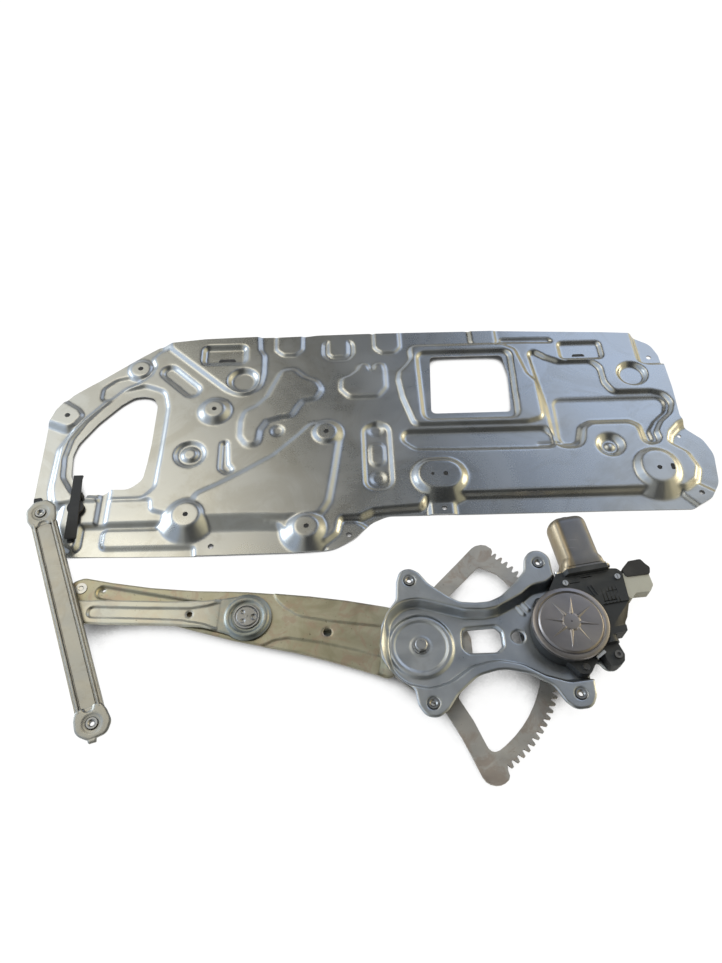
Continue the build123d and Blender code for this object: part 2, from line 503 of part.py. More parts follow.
def equalizer_glass_half():
    plan = slab(outline([(0, 19), (30, 13.5, 20), (60, 12.0), (150, 12.0), (187.5, 12.5, 12),
                         (199, 8, 8), (199, -8, 8), (187.5, -12.5, 12), (60, -12.0), (30, -13.5, 20),
                         (0, -19)], 10), 0, 40) + disc((0, 0), 20.0, 0, 40)
    bent = side_profile([(-30, 16.3), (26, 16.3), (44, EQ_LOW_Z), (220, EQ_LOW_Z)], EQ_T, 40)
    arm = plan & bent
    groove = outline([(56, 5), (166, 5, 5), (166, -5, 5), (56, -5)], 4)
    arm -= extrude(at(groove, EQ_LOW_Z + EQ_T - 0.8), amount=4, taper=-35)
    arm -= disc((0, 0), 9.0, 0, 60)
    arm -= disc((EQ_GLASS, 0), 4.0, 0, 60)
    return arm_frame(arm, EQ_ANGLE + 180, MID)


# ---------------------------------------------------------------- guide rail
def guide_rail():
    w, t = RAIL_W / 2, RAIL_T
    top = RAIL_Z + RAIL_H
    prof = [(-w, RAIL_Z), (-w + 5.0, RAIL_Z), (-w + 5.0, RAIL_Z + t), (-w + t, RAIL_Z + t),
            (-w + t, top - t - 1.4), (-w + t + 1.4, top - t), (-6.4, top - t), (-5.2, top - t - 1.0),
            (5.2, top - t - 1.0), (6.4, top - t), (w - t - 1.4, top - t), (w - t, top - t - 1.4),
            (w - t, RAIL_Z + t), (w - 5.0, RAIL_Z + t), (w - 5.0, RAIL_Z), (w, RAIL_Z),
            (w, top - 2.0), (w - 2.0, top), (6.0, top), (4.8, top - 1.0), (-4.8, top - 1.0),
            (-6.0, top), (-w + 2.0, top), (-w, top - 2.0)]
    f = Face(Wire.make_polygon([Vector(16.0, y, z) for y, z in prof], close=True))
    channel = extrude(f, amount=RAIL_HOLES - 32.0, dir=(1, 0, 0))
    end_a = outline([(18, 12.5), (10, 15.5), (-4, 17.5), (-15, 11, 8), (-17, -4, 8), (-8, -15, 8),
                     (6, -16.5), (18, -12.5)], 6)
    l = RAIL_HOLES
    end_b = outline([(l - 18, 12.5), (l - 8, 17.0), (l + 6, 17.0), (l + 16, 7, 6), (l + 15, -9, 6),
                     (l + 4, -17.0), (l - 8, -16.5), (l - 18, -12.5)], 6)
    plate_a = slab(end_a, top - t, top)
    plate_b = slab(end_b, top - t, top)
    tab = slab(outline([(l + 12, -12), (l + 19, -8), (l + 17, -3), (l + 10, -6)], 1), top - t, top)
    rail = channel + plate_a + plate_b + tab
    rail -= disc((0, 0), NUT_R, 0, 60)
    rail -= disc((l, 0), NUT_R, 0, 60)
    return Pos(RAIL_TOP[0], RAIL_TOP[1], 0) * Rot(0, 0, RAIL_ANGLE) * rail


def weld_nut(p, z, sheet):
    """Weld nut under the sheet: its barrel fills the sheet's hole and stands proud of it."""
    n = disc(p, NUT_R, z - sheet, z + NUT_PROUD) + hexagon(p, NUT_ACROSS, z - sheet - NUT_DEEP, z - sheet)
    n -= cone(p, THREAD_R, z + NUT_PROUD - NUT_SINK, NUT_MOUTH, z + NUT_PROUD)
    return n - disc(p, THREAD_R, z - sheet - NUT_DEEP - 1, z + 6)


# ---------------------------------------------------------------- gear housing
HOUSING = [(3, 57), (12, 57.5), (33, 57.5), (52, 55), (70, 51.5), (74, 46), (69.5, 13), (61, -3.5),
           (56.5, -9), (55, -19, 2), (43, -19, 2), (30, -22), (20, -6), (-8, 20), (-10, 40)]
LUG = [(36, -10), (43, -28), (45.2, -40), (42.5, -47), (36, -50.5), (27.5, -49.5), (25.5, -43), (24, -20)]
BOSS = [(-16, -33), (-9, -42), (-4, -51), (6, -52), (13, -44), (24, -34), (30, -26), (10, 0), (-10, -10)]
HOUSE_Z0, HOUSE_Z1 = FLOOR_Z + 0.1, 46.5
WELL_R = 33.6


def gear_housing():
    h = disc((0, 0), 38.6, HOUSE_Z0, HOUSE_Z1)
    h += slab(outline(HOUSING, 5), HOUSE_Z0 + 1.6, 46.0)
    h += slab(outline(LUG, 4), HOUSE_Z0, 40.0)
    h += slab(outline(BOSS, 5), HOUSE_Z0, 37.0)
    for p in MOUNT_MOTOR[1:]:
        h += disc(p, 6.0, HOUSE_Z0, 34.0)
    for i in range(5):
        h += slab(outline([(43 + 4 * i, 8), (44.2 + 4 * i, 8), (45.4 + 4 * i, 34), (44.2 + 4 * i, 34)], 0.3), 45.8, 46.8)
    h += double_d(26.4, CAN_FLAT - 1.0, 52.0, 57.5) & (Pos(CAN_AXIS, 55, 50) * Box(80, 20, 2 * (50 - HOUSE_Z0)))
    h -= disc((0, 0), WELL_R, 31.0, 60)
    h -= ring((0, 0), 38.6, 40.1, 44.5, 60)
    h += disc((0, 0), 10.0, 21.0, 32.6)
    h -= disc((0, 0), 8.0, 15, 40)
    h -= along(WORM_OFFSET, WORM_Z, -24, 60, 7.2)
    h += along(WORM_OFFSET, WORM_Z, -27.0, -20.2, 8.6)
    h -= ring((0, 0), 38.6, 40.1, 44.5, 60)
    h -= along(WORM_OFFSET, WORM_Z, -24.0, -18.0, 4.6)
    h += along(WORM_OFFSET, WORM_Z, 30.0, 37.0, 8.2) & (Pos(WORM_OFFSET, 33, WORM_Z) * Box(17, 20, 15.6))
    h -= along(WORM_OFFSET, WORM_Z, 25.0, 42.0, 4.6)
    h -= Pos(WORM_OFFSET, 49.0, WORM_Z) * Box(30.0, 20.0, 13.0)
    for p in MOUNT_MOTOR:
        h -= disc(p, 4.0, 15, 70)
    for p in HOUSING_SCREWS:
        h -= disc(p, 1.6, 36, 60)
    for a in CAN_SCREWS:
        h -= along(a, WORM_Z, 44.0, 70.0, 1.6)
    h -= Pos(67.0, 34.3, WORM_Z) * Box(14.0, 11.0, 9.0)
    return in_motor(max(h.solids(), key=lambda s: s.volume))


CAN_SCREWS = (8.1, 64.3)
HOUSING_SCREWS = [(9.4, 44.5), (66.5, 41.7)]


def gear_cover():
    c = disc((0, 0), 40.0, 44.6, 48.0) - disc((0, 0), 38.7, 42.0, 46.6)
    c += cone((0, 0), 34.4, 47.8, 33.0, 50.4)
    c -= disc((0, 0), 32.4, 45.0, 49.0)
    c -= ring((0, 0), 34.6, 36.0, 47.6, 49.0)
    for i in range(8):
        a = 20.0 + 45.0 * i
        spoke = outline([polar((0, 0), a - 13.0, 8.0), polar((0, 0), a - 1.3, 28.5),
                         polar((0, 0), a + 1.3, 28.5), polar((0, 0), a + 13.0, 8.0)], 0.4)
        c += extrude(at(spoke, 50.2), amount=0.8, taper=25)
    c += cone((0, 0), 9.8, 50.2, 8.6, 51.1)
    c -= disc((0, 0), 1.2, 49.5, 52.0)
    return in_motor(c)


CAN_AXIS = WORM_OFFSET
CAN_R, CAN_FLAT, CAN_T = 22.0, 16.0, 1.5


def double_d(r, flat, b0, b1):
    return along(CAN_AXIS, WORM_Z, b0, b1, r) & (Pos(CAN_AXIS, (b0 + b1) / 2, WORM_Z) * Box(3 * r, b1 - b0, 2 * flat))


def motor_can():
    can = double_d(CAN_R, CAN_FLAT, 57.6, 119.0)
    shoulder = Pos(CAN_AXIS, 119.0, WORM_Z) * Rot(-90, 0, 0) * Cone(20.5, 14.0, 4.0, align=(Align.CENTER, Align.CENTER, Align.MIN))
    can += shoulder & (Pos(CAN_AXIS, 120, WORM_Z) * Box(60, 20, 2 * CAN_FLAT - 2.0))
    can += along(CAN_AXIS, WORM_Z, 122.0, 125.0, 7.0)
    can += Pos(CAN_AXIS, 58.8, WORM_Z) * Box(61.0, 2.4, 13.0)
    can += double_d(26.4, CAN_FLAT - 1.0, 57.6, 60.0)
    can += double_d(24.6, CAN_FLAT, 60.0, 69.0)
    can -= double_d(CAN_R - CAN_T, CAN_FLAT - CAN_T, 56.0, 117.5)
    can -= along(CAN_AXIS, WORM_Z, 116.0, 123.6, 5.0)
    for a in CAN_SCREWS:
        can -= along(a, WORM_Z, 50, 66, 1.8)
    return in_motor(max(can.solids(), key=lambda s: s.volume))


def magnets():
    out = []
    shell = along(CAN_AXIS, WORM_Z, 70.0, 112.0, CAN_R - CAN_T - RUN) - along(CAN_AXIS, WORM_Z, 60.0, 120.0, 15.2)
    for side in (-1, 1):
        out.append(in_motor(shell & (Pos(CAN_AXIS + side * 20.0, 91.0, WORM_Z) * Box(20.0, 60.0, 22.0))))
    return out


def worm_shaft():
    r0 = WORM_R - 1.25 * WORM_MODULE
    s = along(WORM_OFFSET, WORM_Z, -18.6, 122.6, 3.0)
    s += along(WORM_OFFSET, WORM_Z, -15.0, 15.0, r0)
    s += along(WORM_OFFSET, WORM_Z, 15.0, 29.0, 3.9)
    lead = pi * WORM_MODULE
    path = Helix(pitch=lead, height=8 * lead, radius=r0 - 0.15)
    tooth = Plane(path @ 0, z_dir=path % 0, x_dir=(1, 0, 0)) * Face(Wire.make_polygon([
        Vector(0, -1.2, 0), Vector(2.3, -0.35, 0), Vector(2.3, 0.35, 0), Vector(0, 1.2, 0)], close=True))
    thread = sweep(tooth, path=path, is_frenet=True)
    # the thread leaves a gap for the wheel tooth that lies on the line of centres
    s += Pos(WORM_OFFSET, -4 * lead, WORM_Z) * Rot(-90, 0, 0) * thread
    return in_motor(s)


def rotor_core():
    c = along(WORM_OFFSET, WORM_Z, 76.0, 106.0, 14.0) - along(WORM_OFFSET, WORM_Z, 70.0, 110.0, 3.0)
    for i in range(8):
        a = 45.0 * i
        slot = Pos(WORM_OFFSET, 91.0, WORM_Z) * Rot(0, a, 0) * (Pos(11.2, 0, 0) * Box(6.4, 40.0, 2.6))
        c -= slot
    return in_motor(c)


def windings():
    out = []
    for b0, b1 in ((69.5, 76.0), (106.0, 111.5)):
        out.append(in_motor(along(WORM_OFFSET, WORM_Z, b0, b1, 12.4) - along(WORM_OFFSET, WORM_Z, b0 - 1, b1 + 1, 5.0)))
    return out


def worm_wheel():
    r = WORM_MODULE * WHEEL_TEETH / 2
    pts = gear_teeth(WHEEL_TEETH, WORM_MODULE, r + 0.85, r - 1.2)
    w = slab(face_of(pts), 33.2, 42.8)
    w -= disc((0, 0), 21.0, 35.0, 50.0)
    w -= disc((0, 0), 6.0 + RUN, 30.0, 50.0)
    for i in range(3):
        w += slab(outline([polar((0, 0), 120 * i - 9, 14.0), polar((0, 0), 120 * i - 6, 21.2),
                           polar((0, 0), 120 * i + 6, 21.2), polar((0, 0), 120 * i + 9, 14.0)], 0.8), 34.8, 42.0)
    return in_motor(w)


def damper():
    d = ring((0, 0), 12.4, 20.6, 35.2, 42.2)
    for i in range(3):
        d -= slab(outline([polar((0, 0), 120 * i - 12, 11.0), polar((0, 0), 120 * i - 8.0, 22.0),
                           polar((0, 0), 120 * i + 8.0, 22.0), polar((0, 0), 120 * i + 12, 11.0)], 0.8), 34.0, 44.0)
        d -= slab(outline([polar((0, 0), 120 * i + 60 - 12, 11.0), polar((0, 0), 120 * i + 60 - 7.0, 22.0),
                           polar((0, 0), 120 * i + 60 + 7.0, 22.0), polar((0, 0), 120 * i + 60 + 12, 11.0)], 0.8), 34.0, 44.0)
    return [in_motor(s) for s in d.solids()]


def drive_hub():
    h = disc((0, 0), 12.2, 35.2, 44.0)
    for i in range(3):
        h += slab(outline([polar((0, 0), 120 * i + 60 - 9, 11.5), polar((0, 0), 120 * i + 60 - 5.6, 20.4),
                           polar((0, 0), 120 * i + 60 + 5.6, 20.4), polar((0, 0), 120 * i + 60 + 9, 11.5)], 0.8), 35.2, 42.0)
    h -= disc((0, 0), 5.0, 30.0, 50.0)
    return in_motor(h)


def pinion_shaft():
    pitch = 360.0 / PINION_TEETH
    # a pinion tooth points back at the main pivot
    turn = PINION_ANGLE + 180.0 - MOTOR_ANGLE
    r = MODULE * PINION_TEETH / 2
    pts = gear_teeth(PINION_TEETH, MODULE, r + 0.85 * MODULE, r - 1.15 * MODULE, turn=turn)
    p = slab(face_of(pts), 12.4, 19.0)
    p += disc((0, 0), 7.0, 19.0, 20.6)
    p += disc((0, 0), 6.0, 20.6, 35.0)
    p += disc((0, 0), 5.0, 35.0, 45.4)
    p += disc((0, 0), 4.0, 6.4, 12.4)
    return in_motor(p)


CONNECTOR = [(66.2, 45), (102, 44.5), (101.5, 26), (96, 19.5), (80, 21), (71.5, 12.5)]
CAP = [(75, 49.5), (85, 57.2), (99, 57.4), (102, 51), (105.4, 46), (102.5, 38.5), (76, 40.0)]


def connector_body():
    c = slab(outline(CONNECTOR, 3), 31.0, 45.0)
    c -= Pos(88.5, 38.0, 38.0) * Box(20.0, 16.0, 10.0)
    c &= slab(outline([(76.4, 60), (110, 60), (110, 0), (68, 0), (69.9, 13.0), (72.2, 30)], 0.1), 20, 60)
    c += Pos(71.8, 34.3, 38.0) * Box(9.0, 9.8, 7.6)
    for blade in blades():
        c -= blade
    return in_motor(max(c.solids(), key=lambda s: s.volume))


def connector_cap():
    c = slab(outline(CAP, 3), 29.4, 46.6)
    c -= slab(outline(CONNECTOR, 3), 30.9, 45.1)
    c += Pos(88.5, 42.5, 38.0) * Box(18.0, 7.0, 8.6)
    return in_motor(max(c.solids(), key=lambda s: s.volume))


def blades():
    return [Pos(82.5 + 6.0 * k, 31.0, 35.8 + 4.4 * i) * Box(1.6, 14.0, 0.8) for i in range(2) for k in range(3)]


def balance_spring():
    """Flat spiral strip between the arm and the dome, wound from the slotted sleeve outward."""
    r0, r1, turns, strip = 10.6, 26.5, 4.5, 1.3
    n = 16
    inner, outer = [], []
    for i in range(int(turns * n) + 1):
        a = 360.0 / n * i
        r = r0 + (r1 - r0) * i / (turns * n)
        inner.append(polar((0, 0), a + 30, r - strip / 2))
        outer.append(polar((0, 0), a + 30, r + strip / 2))
    f = face_of(inner + outer[::-1])
    return Pos(PIVOT[0], PIVOT[1], 0) * slab(f, 20.0, 24.2)


def build():
    keep("door_panel", door_panel())

    strap = slab(outline([(-359, -50.5), (-348, -50.5), (-346, -74), (-339, -88, 3), (-338, -102, 3),
                          (-343, -112, 3), (-342, -139), (-356, -139.5), (-357.5, -133), (-355, -112, 3),
                          (-358.5, -104, 3), (-359, -88, 3), (-356, -78), (-358, -66)], 1.5), STRAP_Z, STRAP_Z + 2.2)
    strap += disc((-348.5, -96), 10.5, STRAP_Z, STRAP_Z + 4.4)
    strap += cone((-348.5, -96), 10.5, STRAP_Z + 4.4, 8.0, STRAP_Z + 5.6)
    strap += slab(outline([(-355, -74), (-345, -75), (-345, -82), (-355, -82)], 1), STRAP_Z - 6.0, STRAP_Z + 0.2)
    keep("panel_strap", strap)
    keep("panel_edge_pad", slab(outline([(-405.5, -77), (-396, -76), (-395, -82), (-404.5, -84)], 1.5), SHEET, 3.4))

    keep("base_plate", base_plate())
    keep("base_weld_nuts", *[weld_nut(p, EAR_Z, PLATE) for p in EARS])

    keep("pivot_washer", ring(PIVOT, 6.0 + RUN, 8.5, 27.0, 28.6))
    bolt = hexagon(PIVOT, 13.0, 28.6, 32.6, 12) + cone(PIVOT, 6.3, 32.6, 5.4, 33.1)
    bolt += disc(PIVOT, 6.0, 13.3, 28.6) + cone(PIVOT, 8.4, 11.4, 9.2, 13.3)
    keep("pivot_bolt", bolt)
    keep("pivot_sleeve", ring(PIVOT, 6.0 + RUN, 9.4, 19.1, 25.1))
    keep("balance_spring", balance_spring())

    keep("lift_arm", lift_arm())
    keep("sector_gear", sector_gear())
    keep("arm_rivets", *[disc(polar(PIVOT, a, RIVET_R), 3.0, SECTOR_Z, HUB_Z + ARM_T)
                         + disc(polar(PIVOT, a, RIVET_R), 4.6, HUB_Z + ARM_T, HUB_Z + ARM_T + 0.9)
                         + disc(polar(PIVOT, a, RIVET_R), 4.6, SECTOR_Z - 1.4, SECTOR_Z) for a in ARM_RIVETS])
    keep("pivot_bush", ring(PIVOT, 6.0 + RUN, 8.0, 13.4, 18.95))
    keep("mid_bush", ring(MID, 9.0 + RUN, 13.0, ARM_Z, ARM_Z + ARM_T) + ring(MID, 9.0 + RUN, 14.6, 21.4, 21.9)
         + ring(MID, 9.0 + RUN, 14.6, 18.4, ARM_Z))
    stud = disc(TIP, 4.0, 9.9, ARM_Z + ARM_T) + disc(TIP, 6.4, 21.4, 22.3) + disc(TIP, 6.0, 18.4 + RUN, 19.0)
    stud += disc(TIP, 5.6, 9.3, 10.1)
    stud -= cone(TIP, 2.4, 21.6, 3.2, 22.4)
    keep("lift_stud", stud)
    keep("lift_roller", ring(TIP, 4.0 + RUN, 10.0, 10.3, 18.3))

    keep("equalizer_rail_half", equalizer_rail_half())
    keep("equalizer_glass_half", equalizer_glass_half())
    hub = disc(MID, 9.0, 15.2, 24.0) + disc(MID, 14.2, 24.2, 25.6) + disc(MID, 9.0, 24.0, 24.4)
    hub += disc(MID, 12.6, 14.4, 16.3)
    for i in range(3):
        hub -= disc(polar(MID, EQ_ANGLE + 60 + 120 * i, 8.6), 2.9, 24.7, 30.0)
    hub += cone(MID, 3.0, 25.6, 2.4, 26.0)
    keep("mid_pivot_hub", hub)
    keep("rail_stud", disc(RAIL_STUD, 4.0, EQ_END_Z - 0.1, 33.4) + disc(RAIL_STUD, 6.2, EQ_END_Z - 0.6, EQ_END_Z)
         + disc(RAIL_STUD, 5.6, EQ_END_Z + EQ_T, EQ_END_Z + EQ_T + 0.5))
    keep("glass_stud", disc(GLASS_STUD, 4.0, 0.4, EQ_LOW_Z + EQ_T) + disc(GLASS_STUD, 5.4, EQ_LOW_Z + EQ_T, 11.1)
         + disc(GLASS_STUD, 5.0, 0.2, 0.9))
    keep("glass_roller", ring(GLASS_STUD, 4.0 + RUN, 10.0, 1.0, 8.3))
    shoe = disc(RAIL_STUD, 11.9, 28.3, 33.7) + disc(RAIL_STUD, 8.5, 26.2, 28.3)
    keep("rail_shoe", shoe - disc(RAIL_STUD, 4.0 + RUN, 20, 40))
    keep("equalizer_rail", guide_rail())
    keep("rail_weld_nuts", *[weld_nut(p, RAIL_Z + RAIL_H, RAIL_T) for p in (RAIL_TOP, RAIL_END)])

    keep("gear_housing", gear_housing())
    keep("gear_cover", gear_cover())
    keep("pinion_shaft", pinion_shaft())
    keep("drive_hub", drive_hub())
    keep("damper", *damper())
    keep("worm_wheel", worm_wheel())
    keep("output_bush", in_motor(ring((0, 0), 6.0 + RUN, 8.0, 21.0, 32.6)))
    keep("armature_shaft", worm_shaft())
    keep("rotor_core", rotor_core())
    keep("rotor_windings", *windings())
    keep("commutator", in_motor(along(WORM_OFFSET, WORM_Z, 60.5, 69.0, 7.0) - along(WORM_OFFSET, WORM_Z, 50, 80, 3.0)))
    keep("front_bearing", in_motor(along(WORM_OFFSET, WORM_Z, -20.2, -15.4, 4.6) - along(WORM_OFFSET, WORM_Z, -30, 0, 3.0 + RUN)))
    keep("middle_bearing", in_motor(along(WORM_OFFSET, WORM_Z, 30.2, 36.8, 4.6) - along(WORM_OFFSET, WORM_Z, 20, 50, 3.0 + RUN)))
    keep("rear_bearing", in_motor(along(WORM_OFFSET, WORM_Z, 117.6, 122.0, 5.0) - along(WORM_OFFSET, WORM_Z, 110, 126, 3.0 + RUN)))
    keep("thrust_plug", in_motor(along(WORM_OFFSET, WORM_Z, -23.9, -20.3, 4.5)))
    keep("motor_can", motor_can())
    keep("magnets", *magnets())
    holder = in_motor((Pos(CAN_AXIS, 59.0, WORM_Z) * Box(38.0, 2.6, 27.0))
                      & double_d(CAN_R - CAN_T - 0.1, CAN_FLAT - CAN_T - 0.1, 57.7, 60.3))
    holder -= in_motor(along(CAN_AXIS, WORM_Z, 50, 70, 7.6))
    for side in (-1, 1):
        block = in_motor(Pos(CAN_AXIS + side * 12.4, 64.0, WORM_Z) * Box(7.6, 7.6, 7.6))
        block -= in_motor(Pos(CAN_AXIS + side * 12.4, 64.2, WORM_Z) * Box(9.0, 4.4, 4.4))
        holder += block
    keep("brush_holder", holder)
    keep("brushes", *[in_motor(Pos(CAN_AXIS + side * 11.4, 64.2, WORM_Z) * Box(8.0, 4.2, 4.2)) for side in (-1, 1)])
    keep("can_screws", *[in_motor(along(a, WORM_Z, 47.0, 60.0, 1.55) + along(a, WORM_Z, 60.0, 62.2, 3.1)
                                  - (Pos(a, 62.2, WORM_Z) * Box(0.8, 1.6, 4.4))) for a in CAN_SCREWS])
    keep("housing_screws", *[in_motor(disc(p, 1.55, 38.0, 46.1) + disc(p, 3.1, 46.1, 48.0)
                                      - (Pos(p[0], p[1], 48.0) * Box(0.8, 4.4, 1.6))) for p in HOUSING_SCREWS])
    tall = [40.0, 37.0, 34.0]
    keep("mount_bushes", *[in_motor(ring(p, 2.7, 3.95, HOUSE_Z0, h + 0.4)) for p, h in zip(MOUNT_MOTOR, tall)])
    heads = []
    for i, (p, h) in enumerate(zip(MOUNT_MOTOR, tall)):
        s = disc(p, 2.5, FLOOR_Z - 4.4, h + 0.4)
        s += disc(p, 4.4, FLOOR_Z - 5.0, FLOOR_Z - PLATE - 0.05)
        if i == 0:
            s += disc(p, 4.2, h + 0.4, h + 2.0)
            s -= disc(p, 1.9, h + 0.8, h + 3.0)
        else:
            s += disc(p, 3.4, h + 0.4, h + 1.6)
        heads.append(in_motor(s))
    keep("mount_screws", *heads)
    keep("cover_clip", in_motor(slab(outline([(16, -40.6), (26.5, -35.4), (25, -32.4), (14.6, -37.6)], 0.6), 40.4, 42.6)
                                + slab(outline([(18, -38.6), (23, -36.2), (22.4, -34.6), (17.4, -37.2)], 0.4), 37.0, 40.6)))
    keep("connector_body", connector_body())
    keep("connector_cap", connector_cap())
    keep("terminals", *[in_motor(b) for b in blades()])

    web = None
    for p0, p1 in ((BRACKET_POINTS[0], GEAR), (BRACKET_POINTS[1], GEAR), BRACKET_POINTS):
        arm = slab(capsule(p0, p1, 6.5), 9.0, 11.0)
        web = arm if web is None else web + arm
    low = web - disc(GEAR, 4.0 + RUN, 0, 20)
    foot = disc(GEAR, 7.0, 0.0, 9.0) - disc(GEAR, 4.0 + RUN, 1.6, 20)
    guide = low + foot
    for q in BRACKET_POINTS:
        guide -= disc(q, 2.0, 0, 20)
    keep("pinion_support", guide)
    keep("support_rivets", *[disc(q, 2.0, 8.0, FLOOR_Z - RIVET_SKIN) + disc(q, 4.2, 11.0, FLOOR_Z - PLATE)
                             + disc(q, 3.6, 7.8, 9.0) for q in BRACKET_POINTS])


if __name__ == "__main__":
    build()
    os.makedirs("parts", exist_ok=True)
    for name, shapes in PARTS.items():
        moved = [Pos(-ORIGIN[0], -ORIGIN[1], 0) * s for s in shapes]
        part = moved[0] if len(moved) == 1 else Compound(children=moved)
        part.label = name
        export_step(part, f"parts/{name}.step")
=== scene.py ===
# %% [markdown]
# A power window regulator, laid out on a white bench next to the pressed door carrier panel it
# bolts to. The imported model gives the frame: every name, every joint and every seat. Here the
# pieces get their pressed shapes and finishes. Sheet metal is made from height maps, because a
# press works just so: it pushes one flat sheet up and down, and never folds it under itself.

# %% Load the frame
import bmesh
import bpy
import json
import math
import numpy as np
from mathutils import Matrix, Vector


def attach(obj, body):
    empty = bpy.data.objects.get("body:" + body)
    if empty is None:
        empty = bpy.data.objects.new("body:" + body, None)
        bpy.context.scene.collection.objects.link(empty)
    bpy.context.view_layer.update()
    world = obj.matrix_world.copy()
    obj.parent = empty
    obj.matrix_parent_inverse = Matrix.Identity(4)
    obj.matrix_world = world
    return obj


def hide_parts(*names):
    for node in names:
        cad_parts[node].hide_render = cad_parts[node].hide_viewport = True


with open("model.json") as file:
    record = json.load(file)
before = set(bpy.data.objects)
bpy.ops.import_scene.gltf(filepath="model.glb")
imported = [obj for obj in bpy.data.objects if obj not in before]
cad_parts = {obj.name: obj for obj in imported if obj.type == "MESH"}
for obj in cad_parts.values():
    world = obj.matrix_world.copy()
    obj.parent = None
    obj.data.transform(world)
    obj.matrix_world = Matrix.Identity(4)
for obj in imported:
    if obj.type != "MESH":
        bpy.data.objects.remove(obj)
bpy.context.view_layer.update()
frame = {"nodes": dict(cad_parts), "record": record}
nodes = frame["nodes"]

# %% [markdown]
# The pieces were measured on the bench in millimetres, from a corner of their own. HOME is the
# bench point that the frame calls zero. One function turns bench millimetres into frame metres.

# %% Bench coordinates
MM = 0.001
HOME = (12.3, -126.1)
PIVOT = (44.2, -290.4)
ARM_ANGLE, ARM_LENGTH, MID_LENGTH = 167.4, 375.0, 187.5
EQ_ANGLE, EQ_RAIL, EQ_GLASS = 176.3, 193.0, 187.5
RAIL_ANGLE, RAIL_HOLES, RAIL_UP = -68.4, 262.0, 128.0
PINION_ANGLE, CENTRES, MOTOR_ANGLE = 4.44, 155.0, 8.8


def polar(origin, angle, length):
    a = math.radians(angle)
    return (origin[0] + length * math.cos(a), origin[1] + length * math.sin(a))


MID = polar(PIVOT, ARM_ANGLE, MID_LENGTH)
RAIL_STUD = polar(MID, EQ_ANGLE, EQ_RAIL)
RAIL_TOP = polar(RAIL_STUD, RAIL_ANGLE + 180, RAIL_UP)
GEAR = polar(PIVOT, PINION_ANGLE, CENTRES)


def place(points, origin=(0.0, 0.0), turn=0.0):
    """Millimetres in a piece's own plan, turned and moved on the bench, then frame metres."""
    p = np.asarray(points, float)
    a = math.radians(turn)
    x = origin[0] + p[:, 0] * math.cos(a) - p[:, 1] * math.sin(a) - HOME[0]
    y = origin[1] + p[:, 0] * math.sin(a) + p[:, 1] * math.cos(a) - HOME[1]
    return np.column_stack([x, y, p[:, 2]]) * MM


def show(name, data):
    """New object in the scene, at the frame's zero."""
    obj = bpy.data.objects.new(name, data)
    bpy.context.collection.objects.link(obj)
    return obj


print("main pivot at", place([(*PIVOT, 0.0)])[0])

# %% [markdown]
# The camera stands in front of the bench and looks down steeply, as the photograph does. Its
# place came from the vanishing lines of the layout, so the lens needs no shift.

# %% Camera
CAMERA_AT = (-28.93, -599.35, 795.0)
CAMERA_TILT, CAMERA_YAW = 34.0, -2.0
FOCAL_PIXELS, LONG_SIDE_PIXELS, SENSOR = 780.0, 963.0, 36.0
camera_data = bpy.data.cameras.new("bench_camera")
camera_data.sensor_width = SENSOR
camera_data.lens = FOCAL_PIXELS * SENSOR / LONG_SIDE_PIXELS
camera_data.clip_start, camera_data.clip_end = 0.05, 50.0
camera = show("bench_camera", camera_data)
camera.location = place([CAMERA_AT])[0]
camera.rotation_euler = (math.radians(CAMERA_TILT), 0.0, math.radians(CAMERA_YAW))
bpy.context.scene.camera = camera
print("lens:", round(camera_data.lens, 2), "mm")

# %% [markdown]
# The studio and the finishes are node trees. Blender's own calls for them are long, so a few small
# helpers come first: one adds a node, one puts a link or a plain value into a socket, and the
# others stand for the nodes that are used most.

# %% Node helpers
def add(tree, kind, label=None, **values):
    node = tree.nodes.new(kind)
    for key, value in values.items():
        if hasattr(node, key):
            setattr(node, key, value)
        else:
            node.inputs[key.replace("_", " ")].default_value = value
    if label:
        node.label = label
    return node


def wire(tree, *pairs):
    for out, into in pairs:
        tree.links.new(out, into)


def feed(tree, socket, value):
    """A link or a plain value for a socket; three numbers are a colour."""
    if isinstance(value, bpy.types.NodeSocket):
        tree.links.new(value, socket)
    else:
        socket.default_value = (*value, 1.0) if isinstance(value, tuple) else value


def ramp(tree, factor, stops, label):
    """Colour ramp with (position, colour) stops."""
    node = add(tree, "ShaderNodeValToRGB", label)
    marks = node.color_ramp.elements
    while len(marks) < len(stops):
        marks.new(0.5)
    for mark, (at, colour) in zip(marks, stops):
        mark.position = at
    for mark, (at, colour) in zip(node.color_ramp.elements, stops):
        mark.color = (*colour, 1.0)
    tree.links.new(factor, node.inputs["Fac"])
    return node.outputs["Color"]


def mix_colours(tree, factor, low, high, blend="MIX"):
    node = add(tree, "ShaderNodeMix")
    node.data_type, node.blend_type = "RGBA", blend
    for socket, value in (("Factor", factor), ("A", low), ("B", high)):
        feed(tree, node.inputs[socket], value)
    return node.outputs["Result"]


def maths(tree, operation, *values):
    node = add(tree, "ShaderNodeMath", operation=operation)
    for socket, value in zip(node.inputs, values):
        feed(tree, socket, value)
    return node.outputs[0]


def span(tree, value, low, high, to_low=0.0, to_high=1.0):
    node = add(tree, "ShaderNodeMapRange")
    node.interpolation_type = "SMOOTHSTEP"
    for name, number in (("From Min", low), ("From Max", high), ("To Min", to_low), ("To Max", to_high)):
        node.inputs[name].default_value = number
    tree.links.new(value, node.inputs["Value"])
    return node.outputs["Result"]


print("node helpers ready")

# %% [markdown]
# Bare and plated steel shows mostly what stands around it. So the studio is a pale dome, cooler
# on the left, warmer on the right and darker low in front, which is how the pressed walls in the
# photograph tell one side from the other. The bench itself stays white to the eye.

